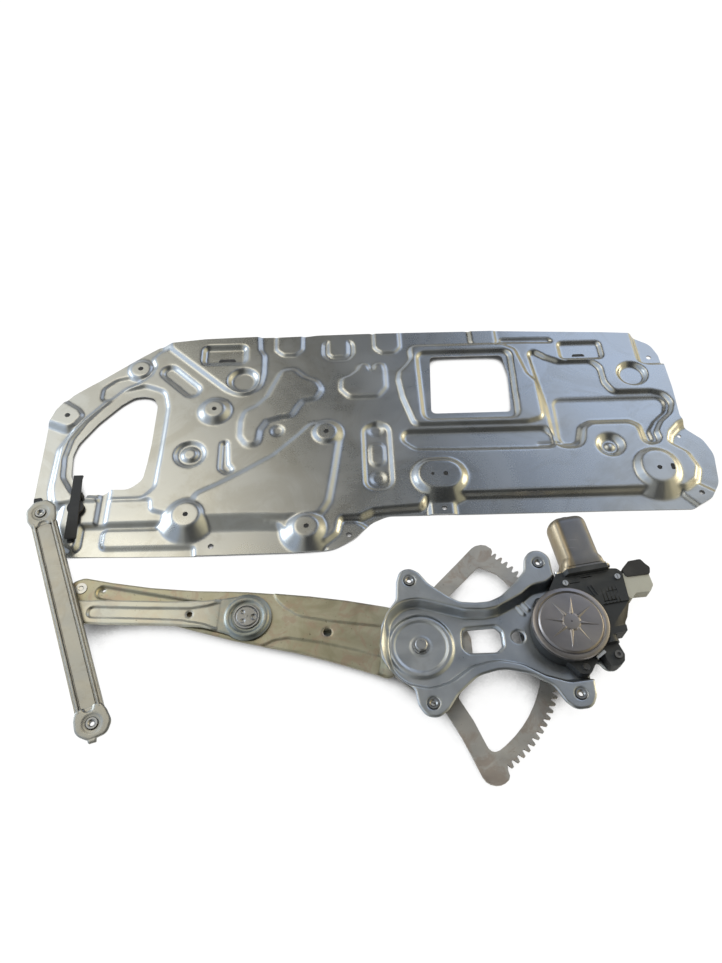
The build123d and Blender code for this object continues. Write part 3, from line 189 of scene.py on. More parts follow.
# %% Studio dome
def seen_directly(tree):
    """1 for what the camera sees, also through glass."""
    eye = add(tree, "ShaderNodeLightPath")
    return maths(tree, "MAXIMUM", eye.outputs["Is Camera Ray"], eye.outputs["Is Transmission Ray"])


world = bpy.data.worlds.new("studio")
bpy.context.scene.world = world
world.use_nodes = True
sky = world.node_tree
sky.nodes.clear()
where = add(sky, "ShaderNodeTexCoord")
parts = add(sky, "ShaderNodeSeparateXYZ")
wire(sky, (where.outputs["Generated"], parts.inputs[0]))
UP = [  # overhead, from left to right
    (0.10, (0.55, 0.62, 0.70)), (0.22, (1.10, 1.30, 1.60)), (0.30, (0.80, 0.84, 0.86)),
    (0.36, (1.5, 1.46, 1.22)), (0.40, (0.58, 0.57, 0.50)), (0.43, (0.19, 0.195, 0.19)),
    (0.50, (0.115, 0.12, 0.12)), (0.62, (0.09, 0.097, 0.11)), (0.70, (0.14, 0.15, 0.16)),
    (0.75, (0.28, 0.28, 0.26)), (0.82, (1.2, 1.1, 0.72)), (0.92, (0.8, 0.75, 0.55))]
HORIZON = [  # near the bench, from left to right
    (0.05, (0.95, 1.0, 1.0)), (0.3, (0.75, 0.85, 1.0)), (0.5, (0.6, 0.6, 0.6)), (0.7, (0.8, 0.72, 0.5)),
    (0.95, (0.9, 0.75, 0.45))]
DEPTH = [(0.10, 0.32), (0.27, 0.50), (0.50, 0.75), (0.65, 1.0), (0.76, 1.0), (0.80, 0.80), (0.84, 0.50),
         (0.95, 0.4)]     # share of the light, from front to back
GLOWS = [  # soft bright patches overhead: direction, inner and outer cosine, colour
    ((-0.27, 0.46, 0.84), 0.996, 0.972, (1.5, 1.35, 1.05)),
    ((0.31, 0.27, 0.90), 0.992, 0.965, (0.28, 0.31, 0.36)),
    ((0.38, 0.68, 0.63), 0.992, 0.955, (0.95, 1.14, 1.50))]
HORIZON_GAIN = (2.0, 2.0, 2.0)


def as_share(out):
    """-1..1 of a direction to 0..1 of a ramp."""
    return maths(sky, "MULTIPLY_ADD", out, 0.5, 0.5)


across, forward = as_share(parts.outputs["X"]), as_share(parts.outputs["Y"])
high = ramp(sky, across, UP, "overhead, left to right")
low = ramp(sky, across, HORIZON, "near the horizon, left to right")
low = mix_colours(sky, 1.0, low, HORIZON_GAIN, "MULTIPLY")
dome = mix_colours(sky, span(sky, parts.outputs["Z"], 0.1, 0.6), low, high)
depth = ramp(sky, forward, [(at, (grey, grey, grey)) for at, grey in DEPTH], "front to back")
dome = mix_colours(sky, 1.0, dome, depth, "MULTIPLY")
for toward, inner, outer, colour in GLOWS:
    facing = add(sky, "ShaderNodeVectorMath", operation="DOT_PRODUCT")
    facing.inputs[1].default_value = Vector(toward).normalized()
    wire(sky, (where.outputs["Generated"], facing.inputs[0]))
    dome = mix_colours(sky, span(sky, facing.outputs["Value"], outer, inner), dome, colour, "ADD")
glow = add(sky, "ShaderNodeBackground")
wire(sky, (mix_colours(sky, seen_directly(sky), dome, (1.0, 1.0, 1.0)), glow.inputs["Color"]))
glow.inputs["Strength"].default_value = 1.0
wire(sky, (glow.outputs[0], add(sky, "ShaderNodeOutputWorld").inputs["Surface"]))
print("studio nodes:", len(sky.nodes))

# %% [markdown]
# Three broad lamps add what the dome lacks: cool daylight from the left, warm light from the right
# and a weak one overhead, which is kept out of the reflections.

# %% Lamps
LAMPS = {  # name: (place in metres, size in metres, watts, colour)
    "left_window": ((-1.8, 0.5, 0.5), 1.2, 12.0, (0.80, 0.90, 1.0)),
    "right_wall": ((1.8, 0.5, 0.45), 1.0, 7.0, (1.0, 0.86, 0.60)),
    "overhead": ((0.0, -0.1, 2.4), 1.6, 14.0, (1.0, 1.0, 1.0)),
}
for name, (at, size, watts, colour) in LAMPS.items():
    lamp = bpy.data.lights.new(name, "AREA")
    lamp.shape, lamp.size, lamp.energy, lamp.color = "DISK", size, watts, colour
    holder = show(name, lamp)
    holder.location = at
    holder.rotation_euler = (-Vector(at)).to_track_quat("-Z", "Y").to_euler()
    holder.visible_glossy = name != "overhead"
bpy.context.scene.view_settings.view_transform = "Standard"
print("lamps:", len(LAMPS))

# %% [markdown]
# The bench is plain white. It keeps the soft shadow under each piece: an occlusion node tells how
# much of the sky a bench point can see, and only well hidden points turn dark.

# %% Bench
BENCH_HALF, BENCH_DROP, SHADOW_REACH = 6.0, 0.0004, 0.06     # metres
SHADOW_DARK, SHADOW_CLEAR = 0.29, 0.54     # open share of the sky: darkest shadow, and none
PAPER, WHITE = (0.86, 0.86, 0.86, 1.0), (1.0, 1.0, 1.0, 1.0)
GLOW_SHARE = 0.86                          # of the bench's look; the rest is its lit surface
corners = [(x * BENCH_HALF, y * BENCH_HALF, 0) for x, y in ((-1, -1), (1, -1), (1, 1), (-1, 1))]
bench_mesh = bpy.data.meshes.new("bench")
bench_mesh.from_pydata(corners, [], [(0, 1, 2, 3)])
bench = show("bench", bench_mesh)
bench.location = (0, 0, -BENCH_DROP)
white = bpy.data.materials.new("white_bench")
white.use_nodes = True
tree = white.node_tree
tree.nodes.clear()
paper = add(tree, "ShaderNodeBsdfDiffuse", Color=PAPER)
light = add(tree, "ShaderNodeEmission", Color=WHITE)
shade = add(tree, "ShaderNodeAmbientOcclusion", samples=16, Distance=SHADOW_REACH)
wire(tree, (span(tree, shade.outputs["AO"], SHADOW_DARK, SHADOW_CLEAR, 0.05, 1.10), light.inputs["Strength"]))
blend = add(tree, "ShaderNodeMixShader")
wire(tree, (maths(tree, "MULTIPLY", seen_directly(tree), GLOW_SHARE), blend.inputs[0]),
     (paper.outputs[0], blend.inputs[1]), (light.outputs[0], blend.inputs[2]),
     (blend.outputs[0], add(tree, "ShaderNodeOutputMaterial").inputs[0]))
bench_mesh.materials.append(white)
print("bench:", BENCH_HALF * 2, "m square")

# %% [markdown]
# Several finishes share the same wear and the same painted crease shade, so it is a node group.
# Cloudy patches come from slow noise, fine grain from fast noise, scratches from noise stretched
# along one direction, and painted shade for the creases from occlusion over a few millimetres.
# The group only hands out masks and a height; each material decides what they do to it.

# %% Shared group of wear and painted crease shade
def noise(tree, vector, scale, detail=3.0, roughness=0.55, distortion=0.0):
    node = add(tree, "ShaderNodeTexNoise")
    for name, value in (("Vector", vector), ("Scale", scale), ("Detail", detail), ("Roughness", roughness),
                        ("Distortion", distortion)):
        feed(tree, node.inputs[name], value)
    return node.outputs["Fac"]


def stretched(tree, vector, scale, turn):
    node = add(tree, "ShaderNodeMapping", Scale=scale, Rotation=(0.0, 0.0, math.radians(turn)))
    tree.links.new(vector, node.inputs["Vector"])
    return node.outputs["Vector"]


wear_and_shade = bpy.data.node_groups.new("metal_wear_and_shade", "ShaderNodeTree")
for label, value in (("Patch Scale", 9.0), ("Grain Scale", 900.0), ("Scratch Scale", 60.0)):
    wear_and_shade.interface.new_socket(label, in_out="INPUT", socket_type="NodeSocketFloat").default_value = value
scales = add(wear_and_shade, "NodeGroupInput").outputs
at = add(wear_and_shade, "ShaderNodeTexCoord").outputs["Object"]
patches = noise(wear_and_shade, at, scales["Patch Scale"], 4.0, 0.6, 0.6)
grain = noise(wear_and_shade, at, scales["Grain Scale"], 2.0, 0.6)
lines = []
for scale, turn in (((1.0, 26.0, 1.0), 12.0), ((30.0, 1.0, 1.0), 35.0)):
    drawn = noise(wear_and_shade, stretched(wear_and_shade, at, scale, turn), scales["Scratch Scale"], 1.0, 0.4)
    lines.append(span(wear_and_shade, drawn, 0.70, 0.80))
rubbed = span(wear_and_shade, noise(wear_and_shade, at, 24.0, 2.0), 0.48, 0.62)
scratch = maths(wear_and_shade, "MULTIPLY", maths(wear_and_shade, "MAXIMUM", *lines), rubbed)
speck = span(wear_and_shade, noise(wear_and_shade, at, 260.0, 3.0, 0.7), 0.66, 0.74)
height = maths(wear_and_shade, "ADD", maths(wear_and_shade, "MULTIPLY", grain, 0.35), maths(wear_and_shade, "MULTIPLY", scratch, -0.3))
CREASE_REACH = 0.004     # metres
# Painted shade: occlusion over a few millimetres marks the creases, which the materials darken.
corner = add(wear_and_shade, "ShaderNodeAmbientOcclusion", samples=6, Distance=CREASE_REACH)
creases = span(wear_and_shade, corner.outputs["AO"], 0.35, 0.92, 1.0, 0.0)
blotches = noise(wear_and_shade, at, maths(wear_and_shade, "MULTIPLY", scales["Patch Scale"], 2.2), 5.0, 0.68, 0.9)
stains = span(wear_and_shade, blotches, 0.47, 0.62)
MASKS = {"Patches": patches, "Grain": grain, "Scratches": scratch, "Specks": speck, "Height": height,
         "Crease Shade": creases, "Stains": stains}
for label in MASKS:
    wear_and_shade.interface.new_socket(label, in_out="OUTPUT", socket_type="NodeSocketFloat")
wear_and_shade_out = add(wear_and_shade, "NodeGroupOutput")
wire(wear_and_shade, *[(value, wear_and_shade_out.inputs[label]) for label, value in MASKS.items()])
print("wear group:", len(wear_and_shade.nodes), "nodes")

# %% [markdown]
# One recipe makes every metal: a dark and a light tone of the plating mixed by the patches, a
# change of tone from the scratches and specks, painted shade in the creases, and a roughness that
# moves with them. Steel, zinc plate and the cover's alloy differ only in the numbers.

# %% Metal finishes
# The first tone is painted shade, laid into the creases by occlusion.
CREASE_SHADE, SCRATCH_TONE, SCRATCH_MIX = (0.05, 0.045, 0.04), (0.8, 0.8, 0.8), 0.18
METAL_GRAIN, METAL_SCRATCH, METAL_BUMP, METAL_DEPTH = 900.0, 40.0, 0.06, 0.0003
PATCH_SPAN, GRAIN_ROUGH = (0.3, 0.7), 0.08     # where patches go from dark to light; what grain adds


def start_material(name, patch_scale, grain_scale, scratch_scale):
    """New material: its tree, its shader and the masks of the shared group, painted crease shade among them.
    """
    mat = bpy.data.materials.new(name)
    mat.use_nodes = True
    t = mat.node_tree
    t.nodes.clear()
    use = t.nodes.new("ShaderNodeGroup")
    use.node_tree = wear_and_shade
    for key, value in (("Patch", patch_scale), ("Grain", grain_scale), ("Scratch", scratch_scale)):
        use.inputs[key + " Scale"].default_value = value
    return mat, t, add(t, "ShaderNodeBsdfPrincipled"), use.outputs


def stain_and_shade_with(t, mask, amount, colour, tone):
    """The tone comes in by the mask, at most by the amount."""
    return mix_colours(t, maths(t, "MULTIPLY", mask, amount), colour, tone)


def end_material(t, shader, colour, rough, height, bump, depth):
    relief = add(t, "ShaderNodeBump", Strength=bump, Distance=depth)
    wire(t, (colour, shader.inputs["Base Color"]), (rough, shader.inputs["Roughness"]),
         (height, relief.inputs["Height"]), (relief.outputs[0], shader.inputs["Normal"]),
         (shader.outputs[0], add(t, "ShaderNodeOutputMaterial").inputs[0]))


def metal(name, dark, light, rough, patch_scale, speck=((0.2, 0.2, 0.2), 0.2),
          stain=((0.3, 0.28, 0.25), 0.12), crease_shade=0.65, metallic=1.0, tint_and_painted_light=None):
    """Worn metal; a second tone (colour, direction, start, end) comes in that way, on the can as painted warm
    light.
    """
    mat, t, shader, masks = start_material(name, patch_scale, METAL_GRAIN, METAL_SCRATCH)
    shader.inputs["Metallic"].default_value = metallic
    colour = ramp(t, masks["Patches"], list(zip(PATCH_SPAN, (dark, light))), "plating tone")
    # A second tone by direction; on the can it is painted warm light on its left side.
    if tint_and_painted_light:
        tone, direction, start, end = tint_and_painted_light
        along = add(t, "ShaderNodeVectorMath", operation="DOT_PRODUCT")
        along.inputs[1].default_value = direction
        wire(t, (add(t, "ShaderNodeTexCoord").outputs["Object"], along.inputs[0]))
        colour = mix_colours(t, span(t, along.outputs["Value"], start, end), colour, tone, "MULTIPLY")
    # Stains, scratches and specks are the metal's own colour; the last mask paints shade into the creases.
    for mask, (tone, amount) in (("Stains", stain), ("Scratches", (SCRATCH_TONE, SCRATCH_MIX)),
                                 ("Specks", speck), ("Crease Shade", (CREASE_SHADE, crease_shade))):
        colour = stain_and_shade_with(t, masks[mask], amount, colour, tone)
    gloss = maths(t, "ADD", span(t, masks["Patches"], *PATCH_SPAN, *rough),
                  maths(t, "MULTIPLY", masks["Grain"], GRAIN_ROUGH))
    end_material(t, shader, colour, gloss, masks["Height"], METAL_BUMP, METAL_DEPTH)
    return mat


print("metal recipe ready")

# %% [markdown]
# The tones were set side by side with the photograph. The carrier panel is the brightest zinc, the
# arms have the yellow of their old plating with rusty stains, and the motor's can and cover are
# greyer. The can's left side takes the warm light of the room, which is painted on as a warm tone.

# %% Metals
METALS = {  # name: dark tone, light tone, least and most roughness, patch scale, what else differs
    "panel_zinc": ((0.46, 0.47, 0.47), (0.57, 0.58, 0.58), (0.20, 0.31), 5.0,
                   {"speck": ((0.75, 0.72, 0.6), 0.1), "stain": ((0.34, 0.32, 0.27), 0.28)}),
    "plate_zinc": ((0.42, 0.45, 0.48), (0.56, 0.58, 0.60), (0.22, 0.34), 16.0),
    "arm_zinc": ((0.36, 0.335, 0.23), (0.60, 0.56, 0.42), (0.30, 0.46), 22.0,
                 {"speck": ((0.08, 0.06, 0.04), 0.8), "stain": ((0.46, 0.33, 0.25), 0.55)}),
    "equal_zinc": ((0.50, 0.49, 0.42), (0.72, 0.70, 0.61), (0.30, 0.44), 22.0,
                   {"speck": ((0.10, 0.08, 0.05), 0.7), "stain": ((0.50, 0.42, 0.33), 0.35),
                    "tint_and_painted_light": ((0.52, 0.57, 0.62), (1, 0, 0), -0.205, -0.165)}),
    # The rail has more painted shade in its creases.
    "rail_zinc": ((0.30, 0.29, 0.26), (0.43, 0.415, 0.37), (0.26, 0.40), 20.0,
                  {"stain": ((0.30, 0.27, 0.22), 0.35), "crease_shade": 0.8}),
    "sector_steel": ((0.42, 0.40, 0.37), (0.60, 0.575, 0.54), (0.34, 0.5), 20.0,
                     {"speck": ((0.12, 0.1, 0.08), 0.5), "stain": ((0.40, 0.30, 0.24), 0.5)}),
    "bright_steel": ((0.52, 0.52, 0.52), (0.72, 0.72, 0.71), (0.24, 0.36), 60.0),
    "hub_steel": ((0.27, 0.275, 0.28), (0.40, 0.40, 0.40), (0.24, 0.36), 60.0),
    "dark_steel": ((0.10, 0.10, 0.10), (0.20, 0.20, 0.21), (0.35, 0.5), 60.0),
    "cover_alloy": ((0.27, 0.25, 0.25), (0.36, 0.335, 0.33), (0.26, 0.36), 22.0),
    # The can's second tone is painted warm light on its left side.
    "can_paint": ((0.20, 0.195, 0.195), (0.28, 0.27, 0.265), (0.28, 0.42), 22.0,
                  {"tint_and_painted_light": ((1.55, 1.3, 0.9), (-0.98823, -0.15299, 0), -0.1875, -0.1835)}),
    "copper": ((0.55, 0.26, 0.14), (0.72, 0.40, 0.22), (0.34, 0.48), 80.0),
    "bronze": ((0.45, 0.30, 0.16), (0.62, 0.45, 0.25), (0.34, 0.48), 80.0),
    "spring_steel": ((0.16, 0.17, 0.20), (0.28, 0.29, 0.33), (0.34, 0.48), 50.0),
    "ferrite": ((0.07, 0.07, 0.07), (0.12, 0.12, 0.12), (0.55, 0.7), 9.0, {"metallic": 0.0})}
FINISH = {name: metal(name, *row[:4], **(row[4] if len(row) > 4 else {})) for name, row in METALS.items()}
print("metals made:", len(FINISH))

# %% [markdown]
# Moulded plastic and rubber reflect far less. They are one colour with a faint grain from the
# mould, dust in cloudy patches and scratches, and a slightly uneven gloss.

# %% Plastics and rubber
MOULD_SCALES, MOULD_BUMP, MOULD_DEPTH = (30.0, 1400.0, 50.0), 0.2, 0.0002


def moulded(name, base, dust, rough=(0.45, 0.6)):
    """Dull plastic or rubber: patches and scratches bring the dust in."""
    mat, t, shader, masks = start_material(name, *MOULD_SCALES)
    colour = stain_and_shade_with(t, span(t, masks["Patches"], 0.45, 0.75), 0.3, base, dust)
    colour = stain_and_shade_with(t, masks["Scratches"], 0.12, colour, dust)
    gloss = span(t, masks["Patches"], *PATCH_SPAN, *rough)
    end_material(t, shader, colour, gloss, masks["Height"], MOULD_BUMP, MOULD_DEPTH)
    return mat


MOULDED = {  # name: its own colour, its dust, roughness where it differs
    "black_plastic": ((0.022, 0.024, 0.026), (0.11, 0.11, 0.11)),
    "black_rubber": ((0.022, 0.022, 0.023), (0.09, 0.088, 0.085), (0.55, 0.7)),
    "cream_plastic": ((0.43, 0.42, 0.355), (0.34, 0.32, 0.26)),
    "white_nylon": ((0.66, 0.64, 0.57), (0.42, 0.36, 0.25)),
    "amber_plastic": ((0.42, 0.24, 0.07), (0.30, 0.18, 0.08)),
    "carbon": ((0.03, 0.03, 0.03), (0.08, 0.08, 0.08), (0.6, 0.75))}
FINISH.update({name: moulded(name, *row) for name, row in MOULDED.items()})
print("finishes made:", len(FINISH))

# %% [markdown]
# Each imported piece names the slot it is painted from. A few real pieces differ from the rest of
# their slot, such as the guide rail's duller zinc or the greyer weld nuts, so they have a finish
# of their own here.

# %% Finish of each piece
OTHER_FINISH = {
    "equalizer_rail": "rail_zinc", "equalizer_rail_half": "equal_zinc", "equalizer_glass_half": "equal_zinc",
    "mid_pivot_hub": "hub_steel", "mount_screws": "dark_steel", "mount_bushes": "hub_steel",
    "base_weld_nuts": "hub_steel", "rail_weld_nuts": "hub_steel"}
slot_of = {part["node"]: part["material_slot"] for part in frame["record"]["subparts"]}


def look(node):
    return FINISH[OTHER_FINISH.get(node, slot_of[node])]


for name, obj in nodes.items():
    if not obj.data.materials:
        obj.data.materials.append(look(name))
    for slot in obj.material_slots:
        slot.material = look(name)
print("dressed nodes:", len(nodes))

# %% [markdown]
# Now the pressings. Each is described as a press tool would be: a list of areas, each pushed up
# or down to a height, with sloping walls. An area starts as a drawn outline, and the first helper
# rounds its corners. Slots and circles have a helper each.

# %% Outline helpers
CORNER_SHARE = 0.46        # the most that a corner takes of either side
SHARP, STRAIGHT = 0.05, 0.03     # a radius in millimetres and an angle too small to round


def rounded(points, radius, pieces=5):
    """Closed polyline through the points with round corners; a third value is a corner's own radius."""
    pts = [tuple(p) for p in points]
    area = sum(pts[i - 1][0] * p[1] - p[0] * pts[i - 1][1] for i, p in enumerate(pts))
    pts = pts if area > 0 else pts[::-1]
    out = []
    for i, p in enumerate(pts):
        a, b = np.array(pts[i - 1][:2]), np.array(pts[(i + 1) % len(pts)][:2])
        c = np.array(p[:2], float)
        r = p[2] if len(p) > 2 else radius
        u, v = a - c, b - c
        lu, lv = np.hypot(*u), np.hypot(*v)
        u, v = u / lu, v / lv
        half = math.acos(max(-1.0, min(1.0, float(u @ v)))) / 2
        if r < SHARP or half > math.pi / 2 - STRAIGHT:
            out.append(tuple(c))
            continue
        reach = min(r / math.tan(half), CORNER_SHARE * lu, CORNER_SHARE * lv)
        r = reach * math.tan(half)
        middle = (u + v) / np.hypot(*(u + v)) * (r / math.sin(half))
        start, end = c + u * reach - (c + middle), c + v * reach - (c + middle)
        turn = math.atan2(start[0] * end[1] - start[1] * end[0], float(start @ end))
        for k in range(pieces + 1):
            s = turn * k / pieces
            out.append((c[0] + middle[0] + start[0] * math.cos(s) - start[1] * math.sin(s),
                        c[1] + middle[1] + start[0] * math.sin(s) + start[1] * math.cos(s)))
    return np.array(out)


def stadium(a, b, r, pieces=10):
    """Outline of a slot with round ends."""
    ang = math.atan2(b[1] - a[1], b[0] - a[0])
    turns = [ang - math.pi / 2 + math.pi * k / pieces for k in range(pieces + 1)]
    far = [(b[0] + r * math.cos(t), b[1] + r * math.sin(t)) for t in turns]
    near = [(a[0] - r * math.cos(t), a[1] - r * math.sin(t)) for t in turns]
    return np.array(far + near)


def circle(centre, r, pieces=28):
    return np.array([polar(centre, 360.0 * k / pieces, r) for k in range(pieces)])


print("corner test:", len(rounded([(0, 0), (10, 0), (10, 10), (0, 10)], 2)), "points")

# %% [markdown]
# To give an area its walls, the press has to know how far each point of the sheet is from the
# outline. Side by side with that, counting how many edges lie to the right of a point tells
# whether it is inside.

# %% Distance to an outline
def distance(outline, x, y, reach=None):
    """Signed distance of each point to the outline, negative inside; far points may stay at reach."""
    out = np.full(x.shape, 1e3 if reach is None else reach)
    lo, hi = outline.min(0), outline.max(0)
    near = slice(None)
    if reach is not None:
        near = (x > lo[0] - reach) & (x < hi[0] + reach) & (y > lo[1] - reach) & (y < hi[1] + reach)
    px, py = x[near], y[near]
    best = np.full(px.shape, 1e9)
    inside = np.zeros(px.shape, bool)
    for (ax, ay), (bx, by) in zip(outline, np.roll(outline, -1, axis=0)):
        dx, dy = bx - ax, by - ay
        t = np.clip(((px - ax) * dx + (py - ay) * dy) / max(dx * dx + dy * dy, 1e-9), 0, 1)
        best = np.minimum(best, (px - ax - t * dx) ** 2 + (py - ay - t * dy) ** 2)
        if abs(dy) > 1e-9:
            inside ^= ((ay > py) != (by > py)) & (px < ax + (py - ay) * dx / dy)
    out[near] = np.where(inside, -np.sqrt(best), np.sqrt(best))
    return out


print("distance test:", distance(circle((0, 0), 10.0), np.array([0.0]), np.array([0.0])).round(1), "mm")

# %% [markdown]
# Pressed sheet has one height over each point of its plan, so a grid of heights describes it. Each
# area raises or lowers the grid in turn, and a little smoothing stands for the tool's own radii.

# %% Height maps
WALL_REACH = 30.0     # no wall is wider


def press(x, y, base, pressings):
    """Height map: each pressing is ("up" or "down", height, wall slope, outline)."""
    z = base(x, y) if callable(base) else np.full(x.shape, float(base))
    for kind, level, slope, shape in pressings:
        d = np.maximum(distance(shape, x, y, reach=WALL_REACH), 0.0) / math.tan(math.radians(slope))
        z = np.maximum(z, level - d) if kind == "up" else np.minimum(z, level + d)
    return z


def soften(z, rounds):
    """Rounds the creases as the press tool's radii do."""
    for _ in range(rounds):
        for axis in (0, 1):
            p = np.concatenate([z.take([0], axis), z, z.take([-1], axis)], axis)
            n = z.shape[axis]
            z = 0.25 * p.take(range(0, n), axis) + 0.5 * p.take(range(1, n + 1), axis) \
                + 0.25 * p.take(range(2, n + 2), axis)
    return z


def grid(points, step, margin=3.0):
    lo, hi = points.min(0) - margin, points.max(0) + margin
    return np.meshgrid(np.arange(lo[0], hi[0] + step, step), np.arange(lo[1], hi[1] + step, step))


tx, ty = grid(circle((0, 0), 9.0), step=1.0)
print("top of a test dome:", press(tx, ty, 0.0, [("up", 4.0, 45, circle((0, 0), 3.0))]).max(), "mm")

# %% [markdown]
# Every mesh gets soft shading with its true creases kept. Each finished piece then takes its look
# from the imported node that it belongs to.

# %% Finishing helpers
SHEET_CREASE, THINNED_CREASE, SKIN_CREASE = 55, 50, 38     # degrees


def smooth(mesh, degrees):
    """Soft shading, but folds sharper than the angle stay sharp."""
    mesh.shade_smooth()
    mesh.set_sharp_from_angle(angle=math.radians(degrees))


def applied(obj, tool):
    """The object's mesh with the modifier worked in; the modifier goes."""
    plain = bpy.data.meshes.new_from_object(obj.evaluated_get(bpy.context.evaluated_depsgraph_get()))
    obj.modifiers.remove(tool)
    return plain


def thin_out(obj, share):
    """Fewer faces on the flat areas, as the export allows only so many on one piece."""
    tool, old = obj.modifiers.new("thin", "DECIMATE"), obj.data
    tool.ratio = share
    obj.data = applied(obj, tool)
    obj.data.name = obj.name
    bpy.data.meshes.remove(old)
    smooth(obj.data, THINNED_CREASE)


def finish_piece(obj, body, node, replace=True):
    """The piece gets the look and the body of its node, and may stand in its place."""
    obj.data.materials.clear()
    obj.data.materials.append(look(node))
    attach(obj, body)
    if replace:
        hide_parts(node)
    print(obj.name, "faces:", len(obj.data.polygons))


print("finishing helpers ready")

# %% [markdown]
# The grid becomes a closed sheet. Where its edge or a hole crosses a grid cell, the cell is cut
# exactly on the line, so edges come out smooth. The underside is the same surface moved down by
# the sheet's thickness, and a wall closes the edge all round.

# %% Sheet maker
CUT_MARGIN = 0.03     # a cut keeps this share of a cell away from the grid's corners


def sheet(name, x, y, z, edge, thick, origin=(0.0, 0.0), turn=0.0):
    """Closed mesh of the sheet: x, y, z are grids, edge is negative where there is metal."""
    index = np.arange(x.size).reshape(x.shape)
    e = edge.ravel()
    corner = np.stack([index[:-1, :-1], index[:-1, 1:], index[1:, 1:], index[1:, :-1]], -1).reshape(-1, 4)
    metal_at = e[corner] < 0
    whole = corner[metal_at.all(1)]
    cut = corner[metal_at.any(1) & ~metal_at.all(1)]
    points = np.column_stack([x.ravel(), y.ravel(), z.ravel()])
    crossing, extra, faces, rim = {}, [], [], []

    def cross(a, b):
        key = (min(a, b), max(a, b))
        if key not in crossing:
            s = e[key[0]] / (e[key[0]] - e[key[1]])
            p, q = points[key[0]], points[key[1]]
            extra.append(p + (q - p) * min(1.0 - CUT_MARGIN, max(CUT_MARGIN, s)))
            crossing[key] = x.size + len(extra) - 1
        return crossing[key]

    for quad in cut.tolist():
        ring, flags = [], []
        for k in range(4):
            a, b = quad[k], quad[(k + 1) % 4]
            if e[a] < 0:
                ring.append(a)
                flags.append(False)
            if (e[a] < 0) != (e[b] < 0):
                ring.append(cross(a, b))
                flags.append(True)
        if len(ring) < 3:
            continue
        faces.append(ring)
        for k in range(len(ring)):
            if flags[k] and flags[(k + 1) % len(ring)]:
                rim.append((ring[k], ring[(k + 1) % len(ring)]))
    top = np.vstack([points, *extra])
    used = np.zeros(len(top), bool)
    used[whole.ravel()] = True
    for ring in faces:
        used[ring] = True
    number = np.full(len(top), -1)
    number[used] = np.arange(used.sum())
    top = top[used]
    low = top.copy()
    low[:, 2] -= thick
    n = len(top)
    polys = [tuple(q) for q in number[whole].tolist()]
    polys += [tuple(number[r].tolist()) for r in faces]
    under = [tuple(v + n for v in reversed(p)) for p in polys]
    walls = [(int(number[b]), int(number[a]), int(number[a]) + n, int(number[b]) + n) for a, b in rim]
    mesh = bpy.data.meshes.new(name)
    mesh.from_pydata(place(np.vstack([top, low]), origin, turn).tolist(), [], polys + under + walls)
    mesh.validate()
    mesh.update()
    smooth(mesh, SHEET_CREASE)
    return show(name, mesh)


print("sheet maker ready")

# %% [markdown]
# The carrier panel is the largest pressing: one thin sheet that closes the door's inner frame.
# Its ribs, pads and steps keep a big thin sheet stiff. The list reads in the order in which the
# areas lie on each other.

# %% Carrier panel outline
PANEL_OUTLINE = [
    (-408.3, 5), (-409.4, 36), (-406, 44), (-402, 58), (-393, 72), (-383, 84), (-368, 96),
    (-348, 111), (-320.6, 133.5), (-300, 150), (-280, 164.7, 10), (-262, 168, 10), (-217, 173),
    (-151, 175), (-122, 175, 1), (-119, 173, 1), (-84, 174, 1), (-62, 177), (10, 178), (14, 176, 1),
    (48, 176, 1), (52, 178, 1), (142, 177.5), (147, 176, 1), (183, 176, 1), (187, 177, 1),
    (268, 173), (333, 170), (373.5, 167, 20), (399, 151, 20), (405.8, 131, 20), (406.3, 66),
    (403.8, 19.5), (409, 3, 20), (427, -15, 20), (434.6, -38, 30), (428.4, -82, 30),
    (412.8, -104, 12), (387, -118, 12), (303, -117), (121, -116), (20, -115, 30), (0, -124, 30),
    (-20, -146, 30), (-45, -159.5, 30), (-75, -162, 30), (-200, -162), (-282, -160),
    (-355, -157.5, 14), (-375, -143, 14), (-398, -107, 20), (-406, -80, 20)]
D_OPENING = [
    (-274, -30), (-272, 0), (-271, 60), (-277, 74, 10), (-290, 77, 14), (-303, 76, 14), (-318, 64),
    (-344, 34), (-364, 2, 20), (-368, -16, 20), (-365, -48, 16), (-354, -68, 12), (-342, -76, 4),
    (-322, -76, 4), (-314, -69, 4), (-292, -70, 20), (-277, -56, 16)]
WINDOW = [(90, 132), (188, 132), (192, 100), (188, 33), (84, 33)]
EDGE_HOLES = [(-301, 125.5), (-386, 48.5), (-187.5, -150.5), (-27, -140.5), (88.5, -107.0),
              (392, 127.5), (402.5, -96.0)]
SHEET, BODY, PAD = 1.2, 9.2, 15.2
REG_PADS = [((-195.5, 46.2), 13.0), ((-218.3, -112.4), 16.5), ((-51.8, 4.6), 13.0), ((-76.6, -133.2), 14.5)]
RAIL_PADS = [((93.0, -65.0), (-14.0, 0.0), 20.0), ((355.0, -65.0), (0.0, 5.0), 21.0)]
print("panel outline:", len(PANEL_OUTLINE), "corners")

# %% [markdown]
# Each line below is one area of the panel: whether the press pushes it up or down, to what
# height, how far its walls lean from the upright, and its corners. A wall that leans far is wide
# and catches the light; a steep one is only a line.

# %% Carrier panel pressings
def area(kind, level, slope, radius, points):
    return (kind, level, slope, rounded(points, radius))


